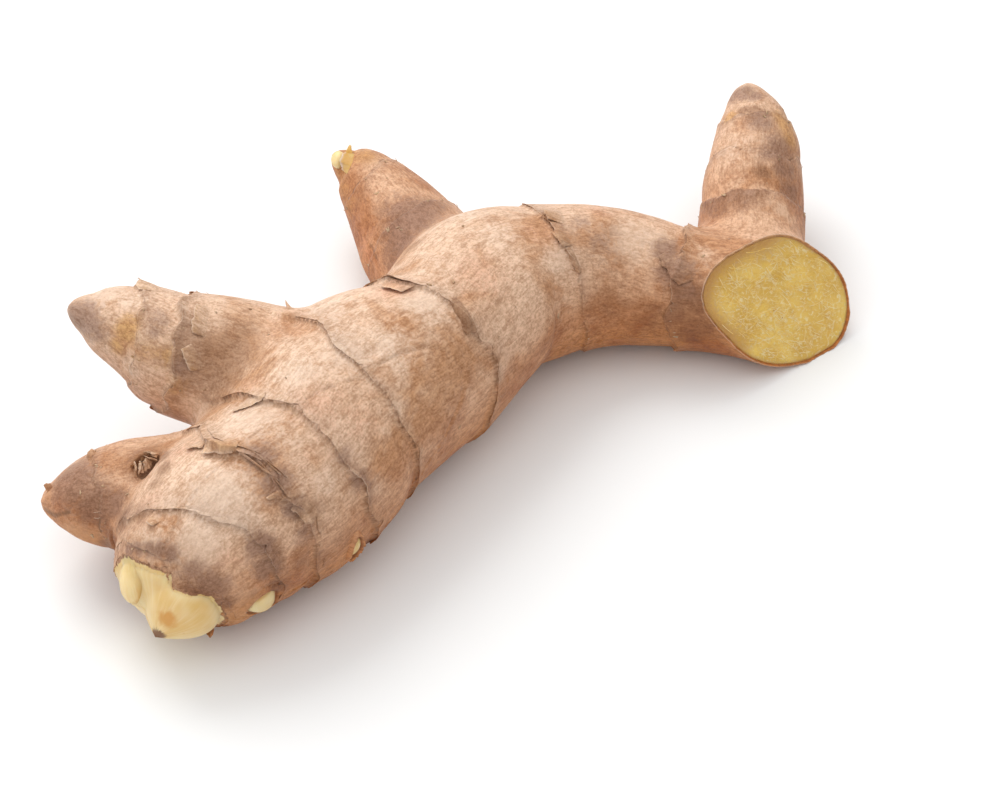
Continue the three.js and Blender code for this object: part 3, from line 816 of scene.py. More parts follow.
def bud_colours(tree, look, grain):
    """Cream-yellow bud flesh with fine lines along its grain, shared by buds and bare skin."""
    lines = cloud(tree, grain, 1700, 3, 0.6, (0.1, 1, 1))
    soft = cloud(tree, grain, 170, 2, 0.5)
    base = stained(tree, colour(look.bud_light), look.bud_deep, soft, 0.35, 0.65)
    return stained(tree, base, look.bud_pale, lines, 0.45, 0.75, 0.35)


def bud_material(look):
    """Smooth moist bud: cream with lines, orange and brown where its marks say so."""
    material, tree, shader = new_material("shoot_bud")
    grain = grain_place(tree)
    base = bud_colours(tree, look, grain)
    fine = cloud(tree, grain, 900, 3, 0.6)
    orange = maths(tree, "ADD", mark(tree, "orange"), fine)
    base = stained(tree, base, look.bud_orange, orange, 0.6, 1.3, 0.9)
    brown = maths(tree, "ADD", mark(tree, "brown"), fine)
    base = stained(tree, base, look.bud_brown, brown, 0.75, 1.15, 0.95)
    tree.links.new(base, shader.inputs["Base Color"])
    lines = cloud(tree, grain, 1700, 2, 0.5, (0.08, 1, 1))
    tree.links.new(bump(tree, lines, 0.00012, 0.7), shader.inputs["Normal"])
    shader.inputs["Roughness"].default_value = 0.4
    let_light_in(shader, 0.35, (0.003, 0.002, 0.0009))
    return material


def flesh_material(look):
    """Moist fibrous cut flesh: yellow-green, and browner just under the skin."""
    material, tree, shader = new_material("cut_flesh")
    place = object_place(tree)
    pulp = cloud(tree, place, 1100, 4, 0.65)
    strands = cloud(tree, place, 700, 5, 0.72, distortion=2.2)
    zones = cloud(tree, place, 110, 2, 0.5)
    base = stained(tree, colour(look.flesh_deep), look.flesh_light, zones, 0.35, 0.65)
    base = stained(tree, base, look.flesh_pale, strands, 0.5, 0.62, 0.7)
    base = stained(tree, base, look.flesh_deep, pulp, 0.52, 0.68, 0.6)
    under_skin = maths(tree, "ADD", mark(tree, "rim"), maths(tree, "MULTIPLY", strands, 0.5))
    base = stained(tree, base, look.flesh_edge, under_skin, 0.4, 1.05)
    tree.links.new(base, shader.inputs["Base Color"])
    tree.links.new(bump(tree, maths(tree, "ADD", pulp, strands), 0.0003, 0.8), shader.inputs["Normal"])
    shader.inputs["Roughness"].default_value = 0.36
    let_light_in(shader, 0.4, (0.003, 0.0024, 0.0008))
    return material


def papery_material(look):
    """Loose bits of thin dry scale, tan with brown patches."""
    material, tree, shader = new_material("papery_scale")
    place = object_place(tree)
    patches = cloud(tree, place, 420, 4, 0.65, distortion=0.8)
    fine = cloud(tree, place, 1900, 3, 0.65)
    base = stained(tree, colour(look.paper_light), look.paper_dark, patches, 0.4, 0.6)
    base = stained(tree, base, look.paper_dark, fine, 0.5, 0.72, 0.5)
    tree.links.new(base, shader.inputs["Base Color"])
    tree.links.new(bump(tree, fine, 0.00015, 0.8), shader.inputs["Normal"])
    shader.inputs["Roughness"].default_value = 0.6
    let_light_in(shader, 0.25, (0.0012, 0.0007, 0.0003))
    return material


def amber_material(look):
    """Young curled scale at a finger's tip: orange-yellow, pale at its edge, partly a painted highlight, and
    slightly glossy.
    """
    material, tree, shader = new_material("amber_scale")
    patches = cloud(tree, object_place(tree), 380, 3, 0.6, distortion=0.5)
    base = stained(tree, colour(look.paper_amber), look.bud_orange, patches, 0.38, 0.62)
    base = stained(tree, base, look.skin_cream_and_highlight, mark(tree, "fray_and_highlight"), 0.3, 1.0, 0.8)
    tree.links.new(base, shader.inputs["Base Color"])
    tree.links.new(bump(tree, patches, 0.0002, 0.6), shader.inputs["Normal"])
    shader.inputs["Roughness"].default_value = 0.42
    let_light_in(shader, 0.4, (0.0015, 0.0009, 0.0003))
    return material


def strand_material(name, scale, first, second, roughness):
    """Fine strands in two tones, in patches of so many waves in a metre."""
    material, tree, shader = new_material(name)
    tone = cloud(tree, object_place(tree), scale, 2, 0.5)
    tree.links.new(stained(tree, colour(first), second, tone, 0.35, 0.65), shader.inputs["Base Color"])
    shader.inputs["Roughness"].default_value = roughness
    return material


def hair_material(look):
    """Dry golden hairs."""
    return strand_material("root_hair", 600, look.paper_light, look.skin_cream_and_highlight, 0.55)


def fibre_material(look):
    """Pale, slightly shiny fibres pulled out of the flesh."""
    return strand_material("flesh_fibre", 700, look.flesh_pale, look.flesh_light, 0.45)


MATERIALS = {
    "ginger_skin": skin_material,
    "shoot_bud": bud_material,
    "cut_flesh": flesh_material,
    "papery_scale": papery_material,
    "amber_scale": amber_material,
    "root_hair": hair_material,
    "flesh_fibre": fibre_material,
}


def material_of(context, name):
    """The named material, made from the settings when it is first asked for."""
    return bpy.data.materials.get(name) or MATERIALS[name](context.scene.ginger_look)


# ---------------------------------------------------------------- the skin
KNIFE_BAND = 0.3  # points this near the knife's plane lie on it
SKIN_PASSES = 3
LONGEST_MOVE = 1.5  # of a point in one pass towards the smooth skin
LEAST_SLOPE = 0.5  # of the root's field, where its limbs meet
PIT_MARGIN = 2.2  # how far outside a fallen shoot's scar its pit reaches
PIT_FADE = 1.6  # length over which the pit ends
PIT_KEPT = 0.75  # share of the solid's own shape in the pit
SMOOTH = 0.2  # share of the wrinkles on bare flesh, in the pit and on the cut
WELDED = 0.01  # the solid's corners that are nearer than this are one


def merged_node(name):
    """A copy of a solid's mesh with its loose triangles joined, as a new object."""
    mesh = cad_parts[name].data.copy()
    obj = bpy.data.objects.new("copy", mesh)
    bpy.context.scene.collection.objects.link(obj)
    weld = obj.modifiers.new("weld", "WELD")
    weld.merge_threshold = WELDED * MM
    return obj


def baked_mesh(obj):
    """The object's mesh with its modifiers worked in; the object itself is removed."""
    depsgraph = bpy.context.evaluated_depsgraph_get()
    mesh = bpy.data.meshes.new_from_object(obj.evaluated_get(depsgraph), depsgraph=depsgraph)
    bpy.data.objects.remove(obj)
    return mesh


def vertices_of(mesh):
    """The mesh's points in millimetres."""
    places = np.empty(len(mesh.vertices) * 3)
    mesh.vertices.foreach_get("co", places)
    return places.reshape(-1, 3) / MM


def on_the_skin(points):
    """The points, moved onto the root's smooth skin."""
    for _ in range(SKIN_PASSES):
        (outside, out), _ = root_field(points)
        slope = np.maximum(np.linalg.norm(out, axis=1), LEAST_SLOPE)
        move = np.clip(outside / slope, -LONGEST_MOVE, LONGEST_MOVE)
        points = points - (out / slope[:, None]) * move[:, None]
    return points


class GINGER_OT_skin(bpy.types.Operator):
    """Grow the root's fine skin over its solid"""

    bl_idname = "ginger.skin"
    bl_label = "Skin"

    def execute(self, context):
        shape = context.scene.ginger_shape
        solid = merged_node(NODE)
        fine = solid.modifiers.new("fine", "REMESH")
        fine.mode = "VOXEL"
        fine.voxel_size = shape.fineness
        mesh = baked_mesh(solid)
        points = vertices_of(mesh)
        cut = np.abs(past_knife(points)) < KNIFE_BAND
        from_scar = np.linalg.norm(points - SCAR["at"], axis=1)
        pit = np.clip((SCAR["radius"] + PIT_MARGIN - from_scar) / PIT_FADE, 0, 1)
        moved = on_the_skin(points)
        moved += PIT_KEPT * pit[:, None] * (points - moved)
        moved[cut] -= past_knife(moved)[cut, None] * KNIFE_NORMAL
        (_, out), best = root_field(moved)
        marks = skin_marks(moved, best)
        height = (shape.wrinkles / MM) * skin_relief(moved, best)
        height[cut | (pit > 0.5) | (marks["flesh"] > 0)] *= SMOOTH
        moved += unit(out) * height[:, None]
        moved[:, 2] = np.maximum(moved[:, 2], 0.0)
        mesh.vertices.foreach_set("co", (moved * MM).ravel())
        marks["flesh"][cut] = 0.0
        skin = finished("ginger_skin", mesh, material_of(context, "ginger_skin"), "skin", marks)
        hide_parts(NODE)
        return {"FINISHED"}


# ---------------------------------------------------------------- torn scale edges
EDGE_WIDTH = 2.6  # of the papery margin that is laid over a scale's edge
PAPER = 0.1  # thickness of a dry scale
EDGE_SPACING = 0.3  # between points round the edge
EDGE_PLACES = np.array([0, 0.15, 0.3, 0.45, 0.6, 0.72, 0.82, 0.9, 0.96, 1.0])  # across the margin
SUNK = 0.12  # how far the margin lies under the skin where it is worn away
LIES_UP = 0.17  # how far it lies over the skin where it stands
TEAR = 3.0  # length of its deepest tears
TEAR_START = 0.22  # height of the random waves at which it starts to be torn
MARGIN_TINT = 1.2  # length over which its grey tint fades
TUCKED = 0.6  # how deep under the skin the margin's back is
LEAST_STANDING, MOST_AT_RANDOM = 0.1, 0.6  # of a margin, away from the stretches below
# Dry margins: limb, number of its edge, how far behind the edge the margin ends, its overhang, and
# the stretches [angle, half width, strength] where it stands off the skin.
MARGINS = [
    ["main", 0, 0.0, 0.2, [[140, 20, 0.8], [96, 12, 0.5], [-100, 40, 0.5]]],
    ["main", 1, 0.0, 0.3, [[99, 12, 0.9], [121, 10, 0.7], [60, 9, 0.5], [-60, 40, 0.4]]],
    ["main", 2, 0.0, 0.25, [[76, 10, 0.9], [113, 13, 0.8], [152, 12, 0.5], [-90, 30, 0.5]]],
    ["main", 3, 0.0, 0.15, [[60, 12, 0.6], [98, 20, 0.4], [148, 14, 0.7], [-120, 40, 0.5]]],
    ["main", 4, 0.0, 0.25, [[93, 9, 0.7], [128, 12, 0.6], [151, 15, 1.0], [-80, 40, 0.4]]],
    ["main", 5, 0.0, 0.2, [[84, 13, 0.6], [120, 16, 0.45], [142, 11, 0.7], [-150, 30, 0.5]]],
    ["main", 5, 1.1, 0.2, [[118, 10, 0.45]]],
    ["main", 6, 0.0, 0.2, [[72, 8, 0.8], [118, 20, 0.45], [152, 20, 0.75], [-60, 40, 0.4]]],
    ["main", 7, 0.0, 0.25, [[90, 360, 0.35], [127, 9, 0.8]]],
    ["main", 7, 1.3, 0.3, [[66, 12, 0.6], [92, 18, 0.7]]],
    ["left", 0, 0.0, 0.35, [[100, 13, 1.0], [130, 12, 0.6], [-60, 30, 0.4]]],
    ["left", 1, 0.0, 0.3, [[56, 14, 1.0], [88, 9, 0.4]]],
]


def skin_relief(points, best):
    """Height of the skin's wrinkles and lumps, as a share of the wrinkles' own height."""
    reach = np.zeros(len(points))
    for limb in GINGER.values():
        mine = best[:, 1] == limb.number
        reach[mine] = limb.plain_radius(best[mine, 2])
    grain = grain_of(best[:, 1], best[:, 2], best[:, 3], reach) / MM
    ridges = fractal(grain * [0.22, 1, 1], 2.2, 3, 4.0)  # fine, and drawn out along the limb
    dents = np.minimum(fractal(grain * [0.6, 1, 1], 3.4, 2, 14.0) + 0.35, 0)
    lumps = fractal(points, 9.0, 2, 9.0)
    return best[:, 4] * (0.5 * ridges + 1.4 * dents) + 0.9 * lumps


def standing(angle, stretches, seed):
    """How far a dry margin stands off the skin at each angle, 0 to 1."""
    waves = 0.7 * round_noise(angle, np.full(len(angle), seed), 2.5, 6.0) + 0.42
    total = np.clip(waves, LEAST_STANDING, MOST_AT_RANDOM)
    for middle, half, strength in stretches:
        away = np.abs(turned_from(middle, angle)) / half
        total = np.maximum(total, strength * np.clip(1.5 - away, 0, 1))
    return total


def scale_edge(limb, ring, behind, overhang, stretches, seed, wrinkles):
    """A thin ragged margin that follows a scale's edge and turns under: points, faces, marks."""
    count = int(2 * math.pi * limb.plain_radius(ring["at"]) / EDGE_SPACING)
    angle = np.linspace(-math.pi, math.pi, count, endpoint=False)
    seeds = np.full(count, seed)
    stand = standing(angle, stretches, seed)
    edge = limb.edge(ring, angle) - behind
    start = edge - EDGE_WIDTH
    coarse = round_noise(angle, seeds, 2.5, 1.0)
    fine = round_noise(angle, seeds, 13.0, 2.0)
    tears = np.clip(round_noise(angle, seeds, 4.5, 3.0) - TEAR_START, 0, 1)
    end = edge + overhang * stand * (1 + 1.2 * coarse) + 0.3 * fine * stand - TEAR * tears * stand
    curl = stand * (0.08 + 0.42 * np.clip(coarse + 0.2, 0, 1) + 0.5 * flap_at(ring, angle, 3))
    rows, heights = [], []
    for place in EDGE_PLACES:
        rows.append(start + place * (end - start))
        lying = LIES_UP * min(1.0, 2 * place) * stand - SUNK * (1 - stand) - 0.08 * (1 - place)
        crinkle = 0.05 * round_noise(angle, rows[-1], 6.0, 5.0) * place * stand
        heights.append(lying + curl * place**4 + crinkle)
    rows += [end - 0.03, end - 0.6, start + 0.4]
    heights += [heights[-1] - PAPER, heights[-3] - PAPER - 0.1, np.full(count, -TUCKED)]

    along, height = np.array(rows), np.array(heights)
    turn = np.broadcast_to(angle, along.shape)
    point, _, right, up = limb.frame_at(along)
    kept = np.minimum(along, limb.edge(ring, turn) - 0.02)
    slope = limb.plain_radius(along) - limb.plain_radius(kept)
    radius = limb.radius(kept, turn) + slope + height
    number, clear = np.full(along.size, limb.number), np.ones(along.size)
    best = np.stack([radius.ravel(), number, along.ravel(), turn.ravel(), clear], 1)
    smooth = (point + radius[..., None] * around(turn, right, up)).reshape(-1, 3)
    radius = radius + (wrinkles * skin_relief(smooth, best)).reshape(radius.shape)
    points = (point + radius[..., None] * around(turn, right, up)).reshape(-1, 3)
    above_floor(points)

    marks = skin_marks(points, best)
    marks["margin"] = (stand * np.exp((along - end) / MARGIN_TINT)).ravel()
    fray_and_highlight, past = np.zeros(along.shape), np.zeros(along.shape)
    fray_and_highlight[-5:-3] = stand * np.array([[0.5], [1.0]])  # the free edge's last two rows, frayed and with a painted highlight
    past[-3:] = np.array([[0.3], [0.8], [1.0]])  # painted shade on the rows of its under side
    marks["fray_and_highlight"], marks["past"], marks["flesh"] = fray_and_highlight.ravel(), past.ravel(), np.zeros(along.size)
    faces = [*grid_faces(len(rows), count), *closing_faces(len(rows), count)]
    return points, faces, marks


class Bundle:
    """Several shells gathered into one piece."""

    def __init__(self):
        self.points, self.faces, self.marks, self.size = [], [], {}, 0

    def add(self, points, faces, marks):
        points = np.asarray(points).reshape(-1, 3)
        self.points.append(points)
        self.faces += [[int(i) + self.size for i in face] for face in faces]
        for key, values in marks.items():
            self.marks.setdefault(key, []).append(values)
        self.size += len(points)

    def piece(self, name, material, slot):
        marks = {key: np.concatenate(values) for key, values in self.marks.items()}
        return piece(name, np.vstack(self.points), self.faces, material, slot, marks)


class GINGER_OT_edges(bpy.types.Operator):
    """Lay the torn papery margins over the scales' edges"""

    bl_idname = "ginger.edges"
    bl_label = "Scale edges"

    def execute(self, context):
        wrinkles = context.scene.ginger_shape.wrinkles / MM
        bundle = Bundle()
        for seed, (name, i, behind, overhang, stretches) in enumerate(MARGINS):
            limb = GINGER[name]
            bundle.add(*scale_edge(limb, limb.rings[i], behind, overhang, stretches, 3.7 * seed, wrinkles))
        bundle.piece("scale_edges", material_of(context, "ginger_skin"), "dry_scale")
        return {"FINISHED"}


# ---------------------------------------------------------------- buds
SHOOT_ROWS = 90
SHOOT_COLUMNS = 200
SHOOT_BACK = 9.0  # how far behind its root the bare shoot's shell starts, under the skin
SHOOT_REACH = 16.0  # farther from its axis than any point of the shoot
TIP_GAP = 0.02  # between the shell's last row and the shoot's tip
PROUD = 0.2  # how far the bare shoot stands over the solid
EYE_COLUMNS = 64
EYE_REACH = np.array([0.04, 0.2, 0.4, 0.58, 0.72, 0.83, 0.91, 0.97, 1.0])  # across an eye's lens
RIM_REACH = np.array([0.9, 1.0, 1.08, 1.16, 1.26, 1.38, 1.52, 1.7])  # across the skin round it
RIM_HEIGHT = np.array([-0.5, -0.1, 0.55, 0.85, 0.8, 0.5, 0.1, -0.5])  # as a share of the rim's height
EYE_SUNK = 0.25  # how far an eye's edge is sunk
GRAIN_DRAWN = 0.85  # how far the grain of an eye is drawn out along it
# Eyes: middle, a point that the long axis runs towards, half length, half width, height of the
# lens and of the skin's rim round it, how brown the edge of the lens is and how orange it is.
EYES = {
    "lobe": [[-54.8, -58.7, 17.7], [-53.8, -61.1, 14.2], 4.6, 3.0, 0.6, 0, 0.3, 0.6],
    "low_eye": [[-33.3, -57.7, 12.0], [-31.1, -55.0, 12.1], 3.0, 2.3, 0.85, 0.6, 1.0, 0.5],
    "back_eye": [[-18.1, -46.8, 13.4], [-17.6, -46.0, 15.8], 2.4, 1.1, 0.3, 1.0, 0.6, 0.8],
    "tip_eye": [[-24.6, 47.2, 18.6], [-24.0, 49.0, 18.8], 2.2, 1.7, 0.9, 0, 0.5, 1.3],
}
# The bare shoot's stains: [x, y, z, width].
SHOOT_SPOTS = {"brown": [-50.2, -64.6, 11.3, 1.5], "orange": [-48.3, -64.0, 15.0, 1.7]}


def shoot_shell():
    """The bare shoot's skin-deep shell, finely lined towards its tip: points, faces, marks."""
    shoot = BUDS["shoot"]
    root, axis, length = bud_axis(shoot)
    across = unit(np.cross(axis, [0.0, 0.0, 1.0]))
    up = np.cross(across, axis)
    share = np.linspace(0, 1, SHOOT_ROWS) ** 0.8
    height = -SHOOT_BACK + share * (SHOOT_BACK + length - TIP_GAP)
    turn = np.linspace(0, 2 * math.pi, SHOOT_COLUMNS, endpoint=False)
    height, turn = np.meshgrid(height, turn, indexing="ij")
    directions = around(turn, across, up)
    centre = root + height[..., None] * axis
    reach = reach_within(depth_of, centre, directions, SHOOT_REACH, 16)
    points = (centre + reach[..., None] * directions).reshape(-1, 3)
    _, best = root_field(points)
    main = GINGER["main"]
    bare = np.clip((best[:, 2] - main.edge(main.rings[-1], best[:, 3])) / 0.7, 0, 1)
    bare[best[:, 1] != main.number] = 0.0
    bare = np.maximum(bare, np.clip(height.ravel() / 2, 0, 1))
    lines = round_noise(turn, height * 0.1, 9.0, 3.0).ravel()
    rise = (PROUD + 0.05 * lines) * bare - TUCKED * (1 - bare)
    points += rise[:, None] * directions.reshape(-1, 3)
    points = np.vstack([root - (SHOOT_BACK + 0.5) * axis, points, root + (length + 0.15) * axis])
    above_floor(points)

    radius = shoot["radius"]
    grain = np.stack([height, radius * np.cos(turn), radius * np.sin(turn)], -1).reshape(-1, 3)
    marks = {"grain": np.vstack([grain[:1], grain, grain[-1:]]) * MM}
    for kind, (*place, width) in SHOOT_SPOTS.items():
        marks[kind] = near_place(points, place, width)
    body = grid_faces(SHOOT_ROWS, SHOOT_COLUMNS)[:, ::-1] + 1
    last, tip = 1 + (SHOOT_ROWS - 1) * SHOOT_COLUMNS, len(points) - 1
    columns = [(a, (a + 1) % SHOOT_COLUMNS) for a in range(SHOOT_COLUMNS)]
    start_fan = [[0, 1 + b, 1 + a] for a, b in columns]
    tip_fan = [[tip, last + a, last + b] for a, b in columns]
    return points, [*body.tolist(), *start_fan, *tip_fan], marks


def laid_out(middle, towards, half_length, half_width, reach):
    """Rings of points round an eye, laid on the skin, the way out at each, and a ring's angles."""
    middle = np.array(middle)
    out = unit(root_field(middle[None])[0][1])[0]
    long = np.array(towards) - middle
    long = unit(long - (long @ out) * out)
    side = np.cross(out, long)
    turn = np.linspace(0, 2 * math.pi, EYE_COLUMNS, endpoint=False)
    x = half_length * reach[:, None] * np.cos(turn)
    y = half_width * reach[:, None] * np.sin(turn)
    points = (middle + x[..., None] * long + y[..., None] * side).reshape(-1, 3)
    points = on_the_skin(points)
    return points, unit(root_field(points)[0][1]), turn


def eye_lens(middle, towards, half_length, half_width, height, brown, orange, seed):
    """An eye's smooth lens of bud, sunk at its edge: points, faces, marks."""
    points, out, turn = laid_out(middle, towards, half_length, half_width, EYE_REACH)
    reach = np.repeat(EYE_REACH, EYE_COLUMNS)
    lines = 0.02 * fractal(points, 0.8, 2, seed)
    rise = height * (1 - reach**2.6) - EYE_SUNK * reach**6
    points += (rise + lines)[:, None] * out
    angle = np.tile(turn, len(EYE_REACH))
    long = unit(np.array(towards) - middle)
    way = points @ long
    grain = points - GRAIN_DRAWN * way[:, None] * long
    marks = {"grain": grain[:, [2, 0, 1]] * MM}
    marks["orange"] = orange * np.clip(0.4 + np.cos(angle - 1.2), 0, 1) * reach**2
    marks["brown"] = brown * np.clip((reach - 0.66) / 0.26, 0, 1) * (0.55 - 0.45 * np.sin(angle))
    last = (len(EYE_REACH) - 1) * EYE_COLUMNS
    ends = [list(range(EYE_COLUMNS)), list(range(last + EYE_COLUMNS - 1, last - 1, -1))]
    return points, [*grid_faces(len(EYE_REACH), EYE_COLUMNS), *ends], marks


def eye_rim(middle, towards, half_length, half_width, rim, seed):
    """The broken rim of skin round an eye: points, faces, marks."""
    points, out, turn = laid_out(middle, towards, half_length, half_width, RIM_REACH)
    rise = np.repeat(RIM_HEIGHT, EYE_COLUMNS) * rim
    reach = np.repeat(RIM_REACH, EYE_COLUMNS)
    rough = round_noise(np.tile(turn, len(RIM_REACH)), reach * 2, 3.0, seed)
    points += (rise * (1 + 0.35 * rough) - 0.04)[:, None] * out
    _, best = root_field(points)
    marks = skin_marks(points, best)
    marks["brown"] = np.maximum(marks["brown"], np.clip((1.14 - reach) / 0.14, 0, 1))
    marks["flesh"], marks["past"] = np.zeros(len(points)), np.zeros(len(points))
    rows = len(RIM_REACH)
    return points, [*grid_faces(rows, EYE_COLUMNS), *closing_faces(rows, EYE_COLUMNS)], marks


class GINGER_OT_buds(bpy.types.Operator):
    """Grow the bare shoot, the lobe beside it and the small eyes with their rims of skin"""

    bl_idname = "ginger.buds"
    bl_label = "Buds"

    def execute(self, context):
        bundle, rims = Bundle(), Bundle()
        points, faces, marks = shoot_shell()
        piece("shoot_bud", points, faces, material_of(context, "shoot_bud"), "bud", marks)
        for seed, (middle, towards, long, wide, height, rim, brown, orange) in enumerate(EYES.values()):
            bundle.add(*eye_lens(middle, towards, long, wide, height, brown, orange, seed))
            if rim:
                rims.add(*eye_rim(middle, towards, long, wide, rim, seed))
        bundle.piece("eyes", material_of(context, "shoot_bud"), "bud")
        rims.piece("eye_rims", material_of(context, "ginger_skin"), "skin")
        return {"FINISHED"}


# ---------------------------------------------------------------- the cut end
CUT_SPOKES = 220
CUT_RINGS = 56
CUT_ACROSS = unit(np.cross(KNIFE_NORMAL, [0.0, 0.0, 1.0]))
CUT_UP = np.cross(CUT_ACROSS, KNIFE_NORMAL)
CUT_REACH = 20.0  # farther from the knife's point than any point of the cut
CUT_MARGIN = 0.25  # between the flesh's outline and the skin's
HOLE = 0.004  # radius of the innermost ring, as a share of the outline's
SKIN_STAIN = 0.9  # width of the brown flesh just under the skin
WIDE_STAIN = 4.2  # width of the browner flesh along one side
# Rows of the skin behind the cut: how far behind, and how far proud of the skin.
RIM_BEHIND = ((2.4, -0.12), (1.6, 0.04), (0.9, 0.12), (0.35, 0.17))
# Rows of the ragged rim: how far out, the share of the ragged height, and how far past the knife.
RIM_ROWS = ((0.16, 0.3, 0.0), (0.12, 1.0, 0.0), (-0.06, 0.9, 0.0), (-0.3, 0.0, 0.1), (-0.5, 0.0, -0.5))
RIM_YELLOW = (0, 0, 0, 0, 0.1, 0.3, 0.8, 0.8, 0.8)  # how yellow each row is
RIM_FRAY_AND_HIGHLIGHT = (0, 0, 0, 0, 0.4, 0.9, 0.5, 0, 0)  # how frayed each row is, and how strong its painted highlight is


def cut_outline():
    """Angles and spokes on the knife's plane, and how far along them the skin is."""
    turn = np.linspace(0, 2 * math.pi, CUT_SPOKES, endpoint=False)
    spoke = around(turn, CUT_ACROSS, CUT_UP)

    def outside_or_under(points):
        return np.maximum(depth_of(points), -points[:, 2])

    return turn, spoke, reach_within(outside_or_under, KNIFE_POINT, spoke, CUT_REACH, 22)


class GINGER_OT_cut(bpy.types.Operator):
    """Lay bare the flesh of the sliced end, inside its ragged rim of skin"""

    bl_idname = "ginger.cut"
    bl_label = "Cut end"

    def execute(self, context):
        turn, spoke, reach = cut_outline()
        share = 1 - np.linspace(0, 1, CUT_RINGS) ** 1.1
        share[-1] = HOLE
        radius = share[:, None] * (reach - CUT_MARGIN)
        flat = KNIFE_POINT + radius[..., None] * spoke
        pulp = fractal(flat, 1.3, 3, 2.0).reshape(radius.shape)
        swell = fractal(flat, 6.0, 2, 5.0).reshape(radius.shape)
        height = 0.16 + 0.1 * pulp + 0.12 * swell
        height[0] = -0.3
        height[1] = 0.02
        points = flat + height[..., None] * KNIFE_NORMAL
        under_skin = np.exp(-(reach - radius) / SKIN_STAIN)
        one_side = np.exp(-(reach - radius) / WIDE_STAIN) * np.clip(0.35 + np.sin(turn + 0.8), 0, 1)
        rim = np.maximum(under_skin, 0.9 * one_side).ravel()
        faces = grid_faces(CUT_RINGS, CUT_SPOKES)
        piece("cut_face", points, faces, material_of(context, "cut_flesh"), "flesh", {"rim": rim})

        ragged = 0.26 + 0.34 * round_noise(turn, np.zeros(CUT_SPOKES), 11.0, 3.0)
        ragged = np.maximum(ragged + 0.3 * round_noise(turn, np.ones(CUT_SPOKES), 3.0, 8.0), 0.03)
        outline = KNIFE_POINT + reach[:, None] * spoke
        rows = []
        for behind, proud in RIM_BEHIND:
            skin = on_the_skin(outline - behind * KNIFE_NORMAL)
            rows.append(skin + proud * unit(root_field(skin)[0][1]))
        for out, height, past in RIM_ROWS:
            rows.append(outline + out * spoke + (height * ragged + past)[:, None] * KNIFE_NORMAL)
        points = np.concatenate(rows)
        above_floor(points)
        _, best = root_field(points)
        marks = skin_marks(points, best)
        marks["yellow"] = np.maximum(marks["yellow"], np.repeat(RIM_YELLOW, CUT_SPOKES))
        marks["fray_and_highlight"] = np.repeat(RIM_FRAY_AND_HIGHLIGHT, CUT_SPOKES)
        faces = grid_faces(len(rows), CUT_SPOKES)
        piece("cut_rim", points, faces, material_of(context, "ginger_skin"), "skin", marks)
        return {"FINISHED"}


# ---------------------------------------------------------------- torn flakes
FLAKE_ROWS = 16
FLAKE_COLUMNS = 27
FLAKE_SAG = 0.08  # how much lower a flake lies at its sides
FLAKE_OFF = 0.1  # how far a flake stands off the skin all over
CRUMPLE = 0.07  # height of a flake's creases
